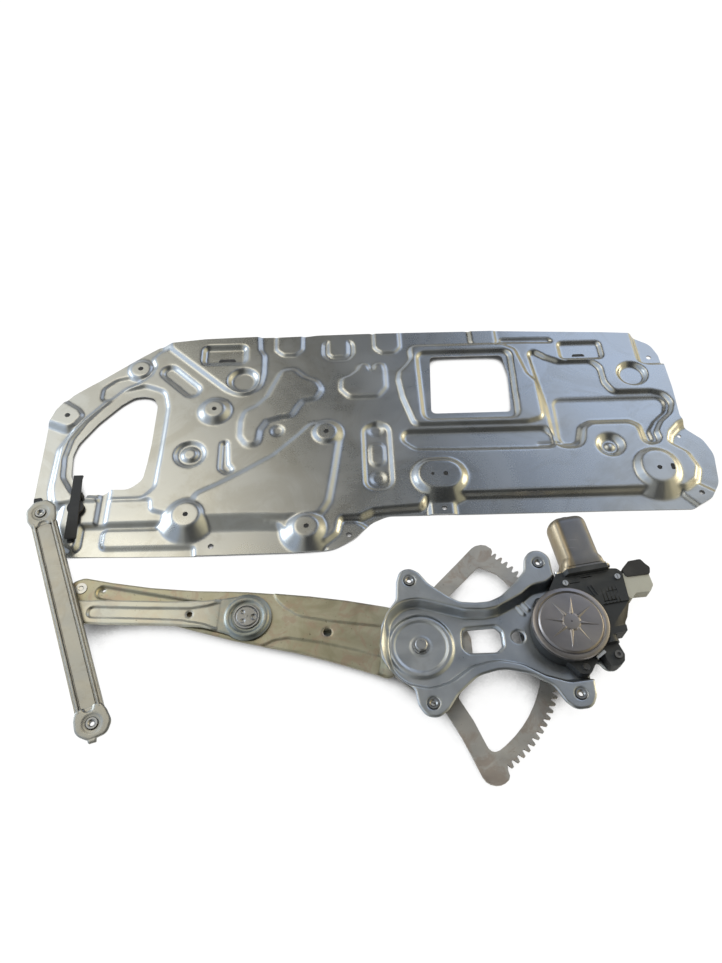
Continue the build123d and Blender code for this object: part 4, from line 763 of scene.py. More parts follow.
panel_pressings = [
    area("up", 4.7, 45, 8, [
        (-414, 40), (-384, 26), (-366, 30), (-345, 62), (-322, 92), (-285, 112), (-262, 150),
        (-262, 190), (-300, 190), (-420, 90)]),
    area("up", 3.9, 45, 5, [
        (-314, -125), (-205, -126), (-196, -120), (-100, -121), (-62, -150), (-62, -185), (-203, -185),
        (-206, -149), (-314, -148)]),
    area("up", 6.6, 45, 5, [
        (-366, -84), (-232, -84), (-232, -116), (-345, -116), (-345, -150), (-358, -146),
        (-368, -118)]),
    area("up", BODY, 38, 7, [
        (-378, -88), (-384, -66), (-384, -4), (-374, 18), (-362, 38), (-344, 60), (-318, 92),
        (-296, 101), (-284, 112), (-279, 128), (-285, 142), (-276, 153), (-262, 160), (-262, 195),
        (372, 195), (372, 114), (384, 109), (420, 109), (420, 18), (398, 8), (384, -6), (378, -22),
        (398, -38), (405, -60), (398, -78), (384, -88), (100, -88), (66, -92), (60, -104), (24, -106),
        (2, -108), (-14, -116), (-38, -117), (-42, -138), (-56, -150), (-90, -146), (-110, -124),
        (-140, -118), (-200, -118), (-262, -100), (-262, -84), (-352, -84)]),
    area("up", 11.7, 62, 12, [
        (-262, 195), (-262, 161), (-182, 84), (-163, 73, 24), (-140, 84, 20), (-136, 108), (-136, 140),
        (-142, 150), (-145, 195)]),
    area("down", 6.2, 40, 14, [
        (-262, -68), (-259, 0), (-258, 56), (-264, 82), (-290, 93), (-318, 86), (-343, 58), (-360, 34),
        (-372, 8), (-376, -20), (-373, -50), (-356, -76), (-312, -82), (-275, -82)]),
    area("down", 4.2, 45, 4, [(-324, -150), (-324, -74), (-315, -66), (-315, -150)]),
    area("up", 12.4, 66, 10, [
        (-212, -86), (-184, -72), (-150, -52), (-116, -30), (-82, 4), (-70, 18), (-44, 18), (-38, 2),
        (-41, -20), (-47, -60), (-53, -96), (-62, -112), (-100, -114), (-140, -112), (-200, -112)]),
    area("up", 11.7, 70, 7, [
        (-108, 110), (-117, 88), (-126, 66), (-140, 50), (-154, 42), (-158, 28), (-158, 4), (-150, -8),
        (-141, -6), (-139, 14), (-130, 30), (-112, 36), (-98, 38), (-91, 52), (-84, 62), (-66, 66),
        (-60, 78), (-66, 90), (-82, 98), (-95, 112)]),
    area("up", 11.4, 64, 6, [
        (-30, 78), (-29, 94), (-18, 99), (-8, 108), (-3, 119), (4, 118), (5, 108), (14, 106), (16, 119),
        (24, 120), (26, 108), (26, 80), (16, 66), (-20, 66)]),
    area("down", 6.4, 40, 12, [(-4, 18), (27, 18), (27, -80), (-4, -80)]),
    area("up", 7.9, 40, 7, [(3, -12), (20, -12), (20, -44), (3, -44)]),
    area("down", 5.2, 45, 8, [(46, -8), (48, 4), (226, 4), (234, -6), (234, -23), (120, -22), (60, -20)]),
    area("down", 5.2, 40, 12, [
        (236, 44), (230, 100), (226, 142), (246, 126), (264, 117), (308, 117), (317, 106), (317, 80),
        (326, 61), (376, 61), (392, 56), (398, 42), (392, 26), (376, 12), (366, -4), (369, -20),
        (350, -24), (348, 6), (336, 13), (288, 13), (276, 6), (268, -24), (238, -24)]),
    area("down", 3.4, 40, 9, [
        (246, 53), (384, 53), (391, 44), (386, 29), (369, 14), (358, -2), (360, -18), (354, -18),
        (352, 10), (340, 18), (286, 18), (272, 10), (264, -18), (244, -18)]),
    area("up", 12.6, 40, 8, [
        (64, 150), (66, 128), (58, 116), (48, 104), (46, 92), (50, 60), (62, 16), (206, 16), (226, 22),
        (226, 82), (216, 96), (206, 140), (190, 150)]),
    area("down", 9.0, 40, 9, [(74, 137), (198, 137), (194, 23), (75, 23)]),
    area("up", 11.2, 40, 8, [(-118, 195), (-118, 150), (-108, 141), (-92, 141), (-83, 150), (-83, 195)]),
    area("up", 11.2, 40, 8, [(16, 195), (16, 150), (25, 141), (42, 141), (50, 150), (50, 195)]),
    area("up", 11.2, 40, 8, [(149, 195), (149, 155), (158, 146), (173, 146), (183, 155), (183, 195)]),
    area("down", 7.4, 40, 9, [(-54, 165), (-54, 140), (-46, 130), (-22, 130), (-14, 140), (-14, 165)]),
    area("up", BODY, 40, 6, [(-47, 178), (-47, 142), (-42, 137), (-26, 137), (-21, 142), (-21, 178)]),
    area("down", 7.0, 45, 4, [(-214, 156), (-162, 156), (-162, 130), (-214, 130)]),
    area("down", 5.8, 40, 4, [(270, 151), (324, 151), (324, 124), (270, 124)]),
    area("down", 7.4, 40, 3, [(190, 161), (256, 160), (262, 154), (190, 156)]),
    area("up", 3.9, 45, 4, [(72, -98), (100, -98), (100, -130), (72, -130)]),
    area("up", 3.9, 45, 4, [(-200, -132), (-172, -132), (-172, -175), (-200, -175)]),
    area("up", 4.4, 45, 8, [(-52, -134), (-40, -124), (-18, -124), (-4, -134), (-30, -175), (-54, -165)]),
    area("up", 3.9, 45, 6, [(378, -95), (394, -78), (440, -110), (410, -130)]),
    area("down", 2.9, 45, 10, [
        (-346, 74), (-346, 94), (-330, 108), (-314, 112), (-296, 106), (-318, 94), (-336, 74)]),
    area("up", 7.2, 45, 6, [
        (-412, 42), (-384, 30), (-376, 34), (-367, 48), (-374, 58), (-394, 72), (-420, 70)]),
    area("down", 6.0, 45, 3, [(-182, -6), (-178, -4), (-175, -38), (-168, -47), (-175, -50), (-182, -44)]),
    ("up", 7.6, 47, circle((-301, 125.5), 14)),
    ("down", 5.4, 50, stadium((-260, 116), (-228, 84), 8)),
    ("down", 6.6, 40, circle((-161, 97), 16)),
    ("down", 3.6, 25, circle((359, 93), 17)),
    *[("up", PAD, 57, circle(p, r)) for p, r in REG_PADS],
    *[("up", PAD, 52, stadium(p, (p[0] + s[0], p[1] + s[1]), r)) for p, s, r in RAIL_PADS],
    ("down", 3.6, 52, circle((305, -24), 11)),
    ("up", 5.6, 35, circle((305, -24), 4.5)),
    ("down", 8.0, 45, circle((-114, 12), 7)),
    ("down", 5.2, 45, circle((11, 10), 8)),
    ("down", 5.2, 45, circle((11, -64), 8)),
]
print("panel pressings:", len(panel_pressings))

# %% [markdown]
# Now the height map, the horseshoe bead round its button, and every hole are put together, and
# the grid is thinned where the panel is flat.

# %% Carrier panel mesh
PANEL_STEP, PANEL_SHARE = 1.75, 0.62
BUTTON_AT, BUTTON_R, GROOVE_R, BEAD_R = (-222, -21), 5, 17, 24
BUTTON_TOP, GROOVE_LOW, GROOVE_RISE = 12.4, 6.4, 1.2
outline = rounded(PANEL_OUTLINE, 8)
px, py = grid(outline, PANEL_STEP)
pz = press(px, py, SHEET, panel_pressings)
ring = np.hypot(px - BUTTON_AT[0], py - BUTTON_AT[1])
dish = np.maximum(GROOVE_LOW + np.maximum(ring - GROOVE_R, 0) * GROOVE_RISE,
                  BUTTON_TOP - np.maximum(ring - BUTTON_R, 0))
pz = np.where((ring < BEAD_R) & (ring > BUTTON_R), np.minimum(pz, dish), pz)
pz = soften(pz, rounds=1)
holes = [rounded(D_OPENING, 6), rounded(WINDOW, 6), circle((398.5, -8.5), 2.8, 14),
         circle((77, -65), 2.2, 12)]
holes += [circle(p, 3.6, 16) for p in EDGE_HOLES]
holes += [circle(p, 3.25, 16) for p, *rest in REG_PADS + RAIL_PADS]
holes += [rounded(corners, 1) for corners in (
    [(369, -69), (374, -69), (374, -60), (369, -60)], [(-198, 133), (-172, 133), (-175, 139), (-195, 139)],
    [(284, 128), (304, 128), (301, 133), (287, 133)], [(-357.5, -70), (-341, -72), (-341, -85), (-357, -85)])]
metal_edge = distance(outline, px, py)
for hole in holes:
    metal_edge = np.maximum(metal_edge, -distance(hole, px, py, reach=12.0))
panel = sheet("carrier_panel", px, py, pz, metal_edge, SHEET)
thin_out(panel, PANEL_SHARE)
finish_piece(panel, "carrier", "door_panel")

# %% [markdown]
# Turned and drawn pieces are skins stretched over rings of points. A lathe makes the rings round,
# a loft takes any rings at all. Both close their ends, and Blender points the faces outward.

# %% Lathe and loft
SAME_POINT = 0.000002     # metres


def skin(name, rings, origin=GEAR, turn=MOTOR_ANGLE, caps=True):
    """Closed mesh through rings of as many points each, in millimetres."""
    n, faces = len(rings[0]), []
    for i in range(len(rings) - 1 + (0 if caps else 1)):
        a, b = i * n, (i + 1) % len(rings) * n
        faces += [(a + k, a + (k + 1) % n, b + (k + 1) % n, b + k) for k in range(n)]
    if caps:
        faces += [tuple(range(n))[::-1], tuple((len(rings) - 1) * n + k for k in range(n))]
    mesh = bpy.data.meshes.new(name)
    mesh.from_pydata(place(np.vstack(rings), origin, turn).tolist(), [], faces)
    work = bmesh.new()
    work.from_mesh(mesh)
    bmesh.ops.remove_doubles(work, verts=work.verts, dist=SAME_POINT)
    bmesh.ops.dissolve_degenerate(work, edges=work.edges, dist=SAME_POINT / 2)
    bmesh.ops.recalc_face_normals(work, faces=work.faces)
    work.to_mesh(mesh)
    work.free()
    smooth(mesh, SKIN_CREASE)
    return show(name, mesh)


def lathe_rings(profile, pieces=96, shape=None):
    """Rings for a profile of (radius, height); shape(radius, angle, height) may change the height."""
    t = np.arange(pieces) * 2 * math.pi / pieces
    rings = []
    for r, z in profile:
        height = np.full(pieces, float(z))
        if shape:
            height = shape(r, t, height)
        rings.append(np.column_stack([r * np.cos(t), r * np.sin(t), height]))
    return rings


print("lathe test:", len(lathe_rings([(1, 0), (1, 1)])), "rings")

# %% [markdown]
# The rubber strap is a plain bar that lies over a round button. A prism is the simplest skin: one
# outline at a few heights, drawn in a little at the ends, so that its edges look moulded.

# %% Strap
SEAT = BODY + 0.3


def prism(name, plan, low, high, bevel, origin=(0.0, 0.0), turn=0.0):
    """Upright closed prism; its top edge is bevelled by drawing the plan towards its middle."""
    middle = plan.mean(0)
    small = middle + (plan - middle) * (1.0 - bevel / np.abs(plan - middle).max())
    rings = [np.column_stack([points, np.full(len(points), z)]) for points, z in
             ((plan, low), (plan, high - bevel), (small, high))]
    return skin(name, rings, origin, turn)


BAR = [(-359.4, -51), (-347.6, -51), (-348.3, -56), (-342.4, -135), (-342.1, -139), (-355.8, -139),
       (-356, -134), (-358.9, -56)]
TONGUE = [(-355, -74), (-345, -75), (-345, -82), (-355, -82)]
HEEL = [(-355.6, -126), (-343.4, -126), (-343, -138), (-355, -138)]
STRAP = [  # name, plan, height over the seat of the underside and of the top, bevel
    ("strap_bar", rounded(BAR, 0.8), 1.2, 3.4, 0.3),
    ("strap_button", circle((-350.4, -96), 9.8, 48), 0.0, 2.5, 0.2),
    ("strap_tongue", rounded(TONGUE, 1), -5.9, 1.6, 0.2),
    ("strap_foot", rounded(HEEL, 1), 0.0, 1.6, 0.2)]
for name, plan, low, high, bevel in STRAP:
    piece = prism(name, plan, SEAT + low, SEAT + high, bevel)
    finish_piece(piece, "carrier", "panel_strap", replace=name == "strap_bar")

# %% [markdown]
# The other sheet pieces are made the same way, each drawn in its own plan and then turned into
# place, so one function builds any of them. Its lip rolls the rim over a little, as a punch does.

# %% Any other pressing
def pressed(name, body, node, edges, step, base, pressings, cuts, thick, origin=(0.0, 0.0), turn=0.0,
            rounds=1, lip=0.6, roll=2.2, share=1.0, replace=True):
    """Pressed sheet inside the union of the edges, without the cuts; its rim drops by the lip."""
    x, y = grid(np.vstack(edges), step)
    z = soften(press(x, y, base, pressings), rounds)
    metal_edge = np.minimum.reduce([distance(edge, x, y) for edge in edges])
    for hole in cuts:
        metal_edge = np.maximum(metal_edge, -distance(hole, x, y, reach=12.0))
    z = z - lip * np.clip(1.0 + metal_edge / roll, 0.0, 1.0) ** 2
    obj = sheet(name, x, y, z, metal_edge, thick, origin, turn)
    if share < 1.0:
        thin_out(obj, share)
    finish_piece(obj, body, node, replace)


def on_motor(points):
    """Points given across and along the motor axis, on the bench."""
    t = math.radians(MOTOR_ANGLE)
    return np.array([(GEAR[0] + a * math.cos(t) - b * math.sin(t),
                      GEAR[1] + a * math.sin(t) + b * math.cos(t)) for a, b in points])


print("pressing helper ready")

# %% [markdown]
# The base plate is a deep tray with four ears level with its rim. A low dome sits round the main
# pivot, and the slot's edge is drawn down, which gives it the bright line seen from above.

# %% Base plate
RIM, FLOOR = 40.0, 26.0
EARS = [(36.1, -220.5), (178.0, -203.8), (197.2, -350.0), (50.8, -354.6)]
PLATE_OUTLINE = [
    (1.2, -292), (3.8, -271), (10, -257), (20.3, -242.7), (21.8, -222, 14), (26, -209, 14),
    (37, -205.2, 14), (47, -211, 14), (56, -224, 20), (77, -240.5), (88, -247, 16), (105, -248.5),
    (119, -247.6, 20), (132, -242, 20), (150, -226, 20), (161, -213, 12), (163.4, -198, 14),
    (171, -189, 14), (183, -188.2, 14), (191.5, -197, 12), (192, -217, 4), (214, -240, 14),
    (232, -256, 14), (237, -282, 20), (234, -296, 6), (247, -312, 8), (244, -323, 8),
    (232, -323, 8), (224, -312, 10), (214, -322, 14), (213, -352, 14), (207, -364, 14),
    (190, -365.5, 14), (181, -357, 14), (172, -341, 14), (150, -327.5, 30), (124, -321.5, 40),
    (98, -328, 30), (76, -347, 14), (66, -361, 14), (55, -369, 14), (43, -367, 14), (36, -356, 14),
    (33.5, -339, 10), (20, -328), (8, -316), (2.5, -306)]
PLATE_FLOOR = [(10.5, -290, 30), (13, -262, 30), (27, -249, 30), (43, -246.5, 30), (60, -251, 30),
    (91, -260.5, 30), (113, -261.5, 40), (128, -259, 30), (157, -244, 30), (169, -234.5, 16),
    (184, -231.5, 8), (193, -226, 6), (200, -218, 6), (200, -196, 4), (262, -196, 4), (262, -332, 4),
    (222, -330, 6), (190, -333, 10), (168, -326, 20), (146, -313, 30), (120, -307.5, 40), (92, -314.5, 30),
    (70, -329.5, 20), (50, -335.5, 30), (27, -329.5, 30), (13, -316, 30)]
SLOT = [(90, -273), (124, -271), (129.5, -277), (129.5, -292), (123, -298), (94, -298), (89, -292)]
plate_pressings = [
    ("down", FLOOR, 19, rounded(PLATE_FLOOR, 10)), ("up", 28.0, 45, circle(PIVOT, 33, 60)),
    ("down", 27.0, 50, circle(PIVOT, 27, 60)), ("up", 27.4, 30, circle(PIVOT, 11, 40)),
    ("down", 23.0, 38, rounded(SLOT, 5)),
    ("down", FLOOR, 3, on_motor([(1.5, 40), (76, 40), (76, 60), (1.5, 57)]))]
for q in ((153.0, -252.5), (158.6, -247.9)):     # the two small ribs beside the housing
    plate_pressings.append(("up", FLOOR + 1.7, 30, stadium(polar(q, 125, 6.5), polar(q, -55, 6.5), 0.9)))
plate_cuts = [rounded(SLOT, 5), circle((147, -283), 7), circle(PIVOT, 6.1), circle(GEAR, 16),
              *[circle(p, 5.6) for p in EARS],
              on_motor([(4.6, 56.6), (76, 56.6), (76, 90), (10.9, 90), (10.9, 62.6), (4.6, 62.6)])]
pressed("base_tray", "carrier", "base_plate", [rounded(PLATE_OUTLINE, 12)], 0.85, RIM, plate_pressings,
        plate_cuts, thick=1.8, rounds=2, lip=0.9, share=0.7)

# %% [markdown]
# The lift arm is a flat strip with a long groove, which makes a thin strip stiff. Near its hub it
# steps up, so that it clears the toothed sector that it carries.

# %% Lift arm
def step_up(low, high, start, end):
    return lambda x, y: low + (high - low) * np.clip((x - start) / (end - start), 0.0, 1.0)


ARM_PLAN = [
    (20, 38), (45, 35), (86, 30.5), (127, 27.5), (167, 27.5), (196, 27), (250, 23), (290, 20),
    (330, 17), (352, 15.5), (380, 15, 10), (388, 8, 10), (387, -6, 10), (376, -13, 12), (345, -13),
    (300, -15), (250, -20.5), (215, -26.5), (195, -29.6), (167, -32.7), (127, -36.6), (86, -39),
    (45, -39.5), (20, -38)]
upper_strip = rounded([(20, -18, 5), (46, -17), (98, -13), (133, -12.4, 20), (150, -19), (162, -27),
                       (172, -45), (20, -60)], 14)
lower_strip = rounded([(20, 19, 5), (46, 16.5), (62, 14.4), (104, 12.8), (138, 14, 20), (152, 19), (163, 27),
                       (172, 45), (20, 60)], 14)
arm_groove = rounded([(226, 9.5), (300, 7.0), (356, 6.5, 7), (356, -6.5, 7), (300, -7.0), (226, -8.0, 8)], 8)
pressed("long_arm", "lift", "lift_arm", [rounded(ARM_PLAN, 20), circle((0, 0), 39, 60)], 0.9,
        step_up(18.9, 21.4, 34, 42),
        [("up", 22.7, 35, upper_strip), ("down", 20.3, 35, lower_strip), ("down", 18.9, 32, arm_groove)],
        [circle((0, 0), 8), circle((MID_LENGTH, 0), 13), circle((ARM_LENGTH, 0), 4), circle((99.5, 0), 4.6),
         circle((351, -3.5), 2.0)], thick=2.4, origin=PIVOT, turn=ARM_ANGLE, share=0.8)

# %% [markdown]
# The equaliser crosses the lift arm at its middle pivot, with one half above the arm and one below
# it, so it is two pressings. Both are drawn from the pivot outwards, and the hidden half is turned
# round by half a turn.

# %% Equaliser halves
rail_half = [
    (0, 26), (24, 18.5, 30), (46, 13.6, 30), (80, 12.4), (150, 13.4), (196, 12.5, 10), (207, 7, 8),
    (207, -7, 8), (196, -12.5, 10), (150, -14.5), (80, -15.0), (46, -17.0, 30), (24, -21, 30), (0, -26)]
rail_groove = rounded([
    (27, 15.5), (46, 9, 30), (70, 5.6), (110, 5.2), (170, 5.6, 5.6), (170, -5.6, 5.6), (110, -6.0),
    (62, -7.0), (42, -11, 30), (27, -16.5)], 6)
pressed("long_half", "equalizer", "equalizer_rail_half",
        [rounded(rail_half, 8), circle((0, 0), 26.5, 60)], 0.8, step_up(24.0, 25.5, 30, 36),
        [("down", 24.1, 38, rail_groove), ("up", 25.4, 45, circle((0, 0), 22.5, 50)),
         ("down", 24.2, 50, circle((0, 0), 17, 50))],
        [circle((0, 0), 9), circle((EQ_RAIL, 0), 4), circle((61.5, -1), 3.2)],
        thick=2.0, origin=MID, turn=EQ_ANGLE)
glass_half = [
    (0, 19), (30, 13.5, 20), (60, 12.0), (150, 12.0), (187.5, 12.5, 12), (199, 8, 8), (199, -8, 8),
    (187.5, -12.5, 12), (60, -12.0), (30, -13.5, 20), (0, -19)]
pressed("short_half", "equalizer", "equalizer_glass_half",
        [rounded(glass_half, 10), circle((0, 0), 20, 50)], 1.0,
        step_up(18.3, 10.5, 26, 44),
        [("down", 9.7, 40, rounded([(56, 5), (166, 5), (166, -5), (56, -5)], 4))],
        [circle((0, 0), 9), circle((EQ_GLASS, 0), 4)], thick=2.0, origin=MID, turn=EQ_ANGLE + 180)

# %% [markdown]
# The gear cover is a drawn cap, round all over, so a lathe makes it from one profile: the flat with
# its small pit, the groove inside the rim, and the skirt.

# %% Gear cover
cover_profile = [(0.01, 50.5), (0.8, 50.5), (1.0, 51.1), (8.0, 51.1), (8.6, 51.0), (9.4, 50.6), (10.2, 50.4),
    (11.0, 50.4), (31.4, 50.4), (31.9, 50.35), (32.6, 50.0), (33.2, 48.9), (33.9, 48.5), (34.6, 48.7),
    (35.2, 49.2), (38.2, 49.0), (39.4, 48.5), (39.9, 47.6), (40.0, 44.6), (38.75, 44.6), (38.75, 46.8),
    (33.0, 47.0), (32.4, 49.0), (0.01, 49.0)]
finish_piece(skin("cover_cap", lathe_rings(cover_profile), caps=False), "carrier", "gear_cover")

# %% [markdown]
# Eight folds lie on the cap like a star. They are all alike, so one fold is made and Geometry Nodes
# copy it round: a point for each fold, turned by its number, and the number of folds is an input.

# %% Star of folds
FOLDS, FIRST_FOLD, FOLD_LOW, FOLD_BASE = 8, MOTOR_ANGLE + 28.0, 50.0, 50.3
fold = []
for u, half, lift in ((7.5, 3.2, 0.0), (8.4, 3.3, 0.98), (10.0, 3.0, 1.0), (13.0, 2.4, 0.92),
                      (17.0, 1.8, 0.78), (23.0, 1.1, 0.5), (27.5, 0.5, 0.26), (29.5, 0.2, 0.02)):
    fold.append(np.array([(u, v, FOLD_LOW if abs(v) == half else FOLD_BASE + lift)
                          for v in (-half, -0.12 * half, 0.12 * half, half)]))
one_fold = skin("fold_pattern", fold, HOME, 0.0)
star_tree = bpy.data.node_groups.new("star_of_folds", "GeometryNodeTree")
star_tree.interface.new_socket("Geometry", in_out="INPUT", socket_type="NodeSocketGeometry")
count_socket = star_tree.interface.new_socket("Folds", in_out="INPUT", socket_type="NodeSocketInt")
first_socket = star_tree.interface.new_socket("First Angle", in_out="INPUT", socket_type="NodeSocketFloat")
star_tree.interface.new_socket("Geometry", in_out="OUTPUT", socket_type="NodeSocketGeometry")
star_in, star_out = add(star_tree, "NodeGroupInput"), add(star_tree, "NodeGroupOutput")
middles = add(star_tree, "GeometryNodePoints")
number = add(star_tree, "GeometryNodeInputIndex")
turns = add(star_tree, "ShaderNodeCombineXYZ")
copies = add(star_tree, "GeometryNodeInstanceOnPoints")
solid = add(star_tree, "GeometryNodeRealizeInstances")
paint = add(star_tree, "GeometryNodeSetMaterial")
paint.inputs["Material"].default_value = look("gear_cover")
share_turn = maths(star_tree, "DIVIDE", 2 * math.pi, star_in.outputs["Folds"])
turned = maths(star_tree, "MULTIPLY", number.outputs[0], share_turn)
angle = maths(star_tree, "ADD", turned, star_in.outputs["First Angle"])
wire(star_tree, (star_in.outputs["Folds"], middles.inputs["Count"]), (angle, turns.inputs["Z"]),
     (middles.outputs[0], copies.inputs["Points"]), (star_in.outputs["Geometry"], copies.inputs["Instance"]),
     (turns.outputs[0], copies.inputs["Rotation"]), (copies.outputs[0], solid.inputs[0]),
     (solid.outputs[0], paint.inputs["Geometry"]), (paint.outputs[0], star_out.inputs[0]))
copier = one_fold.modifiers.new("star", "NODES")
copier.node_group = star_tree
copier[count_socket.identifier] = FOLDS
copier[first_socket.identifier] = math.radians(FIRST_FOLD)
star_mesh = applied(one_fold, copier)
star_mesh.transform(Matrix.Translation(Vector(place([(*GEAR, 0.0)])[0])))
bpy.data.objects.remove(one_fold)
finish_piece(show("cover_star", star_mesh), "carrier", "gear_cover", replace=False)

# %% [markdown]
# The motor can is drawn from one round sheet and then flattened on two sides. Its rings follow
# that double-D shape, wide at the flange and rounded off at the closed end.

# %% Motor can
CAN_AXIS, WORM_Z = 36.2, 38.0
BLEND_POWER = 18.0     # how sharply the round of the can turns into its flats


def double_d(b, r, flat, pieces=72):
    """Ring at b along the can, of radius r, flattened to that half height."""
    t = np.arange(pieces) * 2 * math.pi / pieces
    flats = flat / np.maximum(np.abs(np.sin(t)), 1e-6)
    reach = (r ** -BLEND_POWER + flats ** -BLEND_POWER) ** (-1 / BLEND_POWER)
    return np.column_stack([CAN_AXIS + reach * np.cos(t), np.full(pieces, b), WORM_Z + reach * np.sin(t)])


can_rings = [double_d(b, r, flat) for b, r, flat in ((57.6, 20.5, 14.5), (57.6, 26.2, 14.9),
    (59.9, 26.2, 14.9), (60.1, 25.0, 15.6), (64.0, 24.6, 16.0), (67.0, 24.2, 16.0), (69.5, 23.0, 16.0),
    (71.5, 22.0, 16.0), (112.0, 22.0, 16.0), (115.0, 21.7, 15.8), (117.6, 20.6, 15.1), (119.6, 19.0, 14.0),
    (121.2, 16.4, 12.2), (122.0, 13.0, 10.2), (122.2, 7.4, 7.4), (124.4, 7.0, 7.0), (125.0, 6.2, 6.2),
    (125.0, 0.5, 0.5), (123.6, 0.5, 0.5), (123.6, 5.0, 5.0), (117.5, 5.0, 5.0), (117.5, 16.0, 13.0),
    (116.0, 20.0, 14.5), (71.5, 20.5, 14.5))]
finish_piece(skin("can_shell", can_rings, caps=False), "carrier", "motor_can")
FLANGE = [(-30.4, -6.4), (30.4, -6.4), (30.4, 6.4), (-30.4, 6.4)]
tab_rings = [np.array([(a, b, WORM_Z + h) for a, h in rounded(FLANGE, 5.0) + (CAN_AXIS, 0)])
             for b in (57.7, 58.0, 59.7, 59.95)]
finish_piece(skin("can_tabs", tab_rings), "carrier", "motor_can", replace=False)

# %% [markdown]
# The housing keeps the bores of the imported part. A copy of it is carved: the plain fins go, and
# two short ribs, the slots of the can's flange and the lower block at the right come instead.

# %% Gear housing
def carve(obj, tool, operation):
    """One boolean, applied at once; the tool is deleted."""
    step = obj.modifiers.new("carve", "BOOLEAN")
    step.operation, step.object, step.solver = operation, tool, "EXACT"
    obj.data = applied(obj, step)
    bpy.data.objects.remove(tool)


def motor_box(a0, b0, a1, b1, low, high, width=0.0):
    """Prism in the motor's plan: a rectangle, or a bar of that width from one point to the other."""
    if width:
        along = np.array([a1 - a0, b1 - b0]) / math.hypot(a1 - a0, b1 - b0) * width / 2
        side = np.array([-along[1], along[0]])
        plan = np.array([(a0, b0) - along - side, (a1, b1) + along - side,
                         (a1, b1) + along + side, (a0, b0) - along + side])
    else:
        plan = np.array([(a0, b0), (a1, b0), (a1, b1), (a0, b1)], float)
    return prism("tool", plan, low, high, 0.05, GEAR, MOTOR_ANGLE)


source = nodes["gear_housing"]
body_mesh = source.data.copy()
body_mesh.transform(source.matrix_world)
housing = show("housing_body", body_mesh)
ABOVE = 48.0     # over everything that is cut away
CARVED = [  # across and along the motor, from and to, low, high, width of a bar
    ("DIFFERENCE", (41.5, 6.0, 64.0, 36.5, 46.0, ABOVE)),
    ("DIFFERENCE", (40.6, -12.0, 80.0, 14.0, 44.2, ABOVE)),
    ("DIFFERENCE", (15.0, 43.4, 25.0, 43.4, 44.8, ABOVE, 1.0)),
    ("DIFFERENCE", (28.5, 47.6, 39.5, 47.6, 44.8, ABOVE, 1.0)),
    ("DIFFERENCE", (43.5, 17.0, 57.0, 17.0, 44.6, ABOVE, 1.3)),
    ("DIFFERENCE", (50.0, 27.5, 60.5, 27.5, 45.0, ABOVE, 1.0)),
    ("UNION", (32.5, 36.5, 35.5, 25.5, 45.0, 47.1, 1.2)),
    ("UNION", (36.2, 37.0, 39.2, 26.0, 45.0, 47.1, 1.2)),
    ("UNION", (14.0, 50.5, 58.0, 50.5, 45.0, 46.9, 0.9))]
for operation, box in CARVED:
    carve(housing, motor_box(*box), operation)
housing.data.name = "housing_body"
finish_piece(housing, "carrier", "gear_housing")

# %% [markdown]
# The middle pivot is clinched: its head has a rim, a groove and three punch marks, one of them
# larger. They are pushed into the lathe's rings.

# %% Middle pivot
PUNCHES = [(130.0, 6.6, 1.9), (235.0, 6.4, 2.1), (-8.0, 8.2, 3.0)]     # angle, distance, size
PUNCH_DEPTH, HEAD_LOW = 0.9, 25.2     # the punch marks the head's face and leaves what is lower


def punched(r, t, z):
    """Heights of one ring of the lathe, with the punch marks pushed in."""
    for angle, at, size in PUNCHES:
        c = polar((0, 0), angle, at)
        near = np.hypot(r * np.cos(t) - c[0], r * np.sin(t) - c[1]) / size
        z = z - PUNCH_DEPTH * np.clip(1.25 - near, 0.0, 0.5) * 2.0 * (z > HEAD_LOW)
    return z


hub_profile = [(0.01, 25.9)] + [(0.5 * k, 25.75) for k in range(2, 22)] + [
    (10.9, 25.5), (11.2, 24.9), (12.0, 24.8), (12.3, 25.5), (13.0, 25.6), (13.9, 25.45), (14.2, 24.9),
    (14.2, 24.2), (9.0, 24.1), (9.0, 16.3), (12.6, 16.2), (12.6, 14.6), (12.3, 14.4), (0.01, 14.4)]
hub = skin("clinched_hub", lathe_rings(hub_profile, shape=punched), MID, 0.0, caps=False)
finish_piece(hub, "equalizer", "mid_pivot_hub")

# %% [markdown]
# The guide rail is a rolled channel. Its section is drawn once and stretched from end to end;
# the flattened ends that carry the nuts are pressed plates.

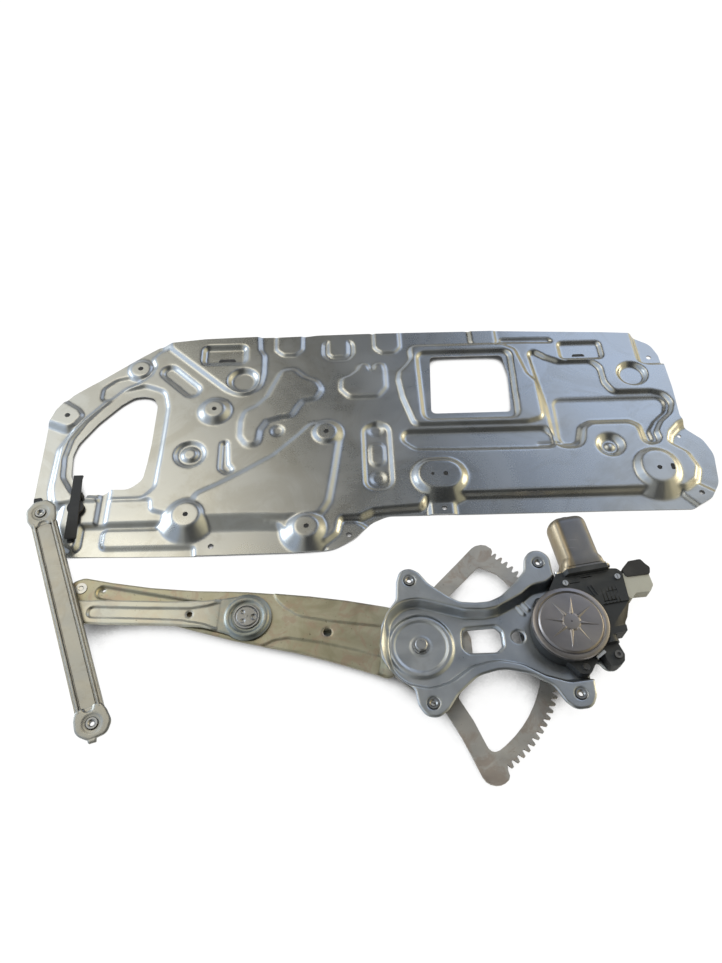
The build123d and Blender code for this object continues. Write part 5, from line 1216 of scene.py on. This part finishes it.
# %% Guide rail
HALF_SECTION = [  # across, height
    (0, 35.3), (7.2, 35.3), (7.7, 34.7), (8.5, 34.7), (9.1, 36.35), (9.5, 36.5), (10.9, 36.5), (11.3, 36.35),
    (11.8, 35.5), (12.4, 35.4), (13.3, 35.5), (13.75, 35.1), (13.75, 26.9), (13.4, 26.5), (8.75, 26.5),
    (8.75, 28.0), (12.1, 28.1), (12.15, 33.2), (11.0, 34.3), (9.4, 34.3), (8.6, 33.2), (0, 33.2)]
section = HALF_SECTION + [(-v, z) for v, z in HALF_SECTION[::-1] if v > 0]
channel = skin("rail_channel", [np.array([(u, v, z) for v, z in section]) for u in (12.0, RAIL_HOLES - 14.0)],
               RAIL_TOP, RAIL_ANGLE)
finish_piece(channel, "rail", "equalizer_rail")
HEAD = [(18, 12.9), (10, 15.5), (-4, 17.5), (-15, 11, 8), (-17, -4, 8), (-8, -15, 8), (6, -16.5), (18, -12.9)]
FOOT = [(-18, 12.9), (-9, 16.5, 12), (4, 18.5, 10), (14.5, 11, 9), (15.5, -7, 9), (5, -18.0, 12),
        (-9, -16.5, 12), (-18, -12.9)]
FOOT_TAB = [(14, -8), (18.2, -7.5), (19, 0), (14.5, 1)]


def from_eye(points, eye):
    """Points drawn round a nut, in the rail's own plan."""
    return [(eye + u, *rest) for u, *rest in points]


foot_plan = [rounded(from_eye(FOOT, RAIL_HOLES), 6), rounded(from_eye(FOOT_TAB, RAIL_HOLES), 1)]
RAIL_ENDS = [  # name, place of its nut, outlines, and the tongue where the channel's web ends
    ("rail_head", 0.0, [rounded(HEAD, 6)], [(30, 4.8), (13, 4.8, 4), (13, -4.8, 4), (30, -4.8)]),
    ("rail_foot", RAIL_HOLES, foot_plan,
     from_eye([(-30, 4.8), (-13, 4.8, 4), (-13, -4.8, 4), (-30, -4.8)], RAIL_HOLES))]
for name, eye, plan, tongue in RAIL_ENDS:
    pressed(name, "rail", "equalizer_rail", plan, 0.7, 36.45,
            [("down", 35.5, 45, rounded(tongue, 1)), ("down", 36.0, 70, circle((eye, 0), 9))],
            [circle((eye, 0), 5.6, 32)], thick=1.6, origin=RAIL_TOP, turn=RAIL_ANGLE, rounds=2, lip=0.5,
            roll=2.0, replace=False)
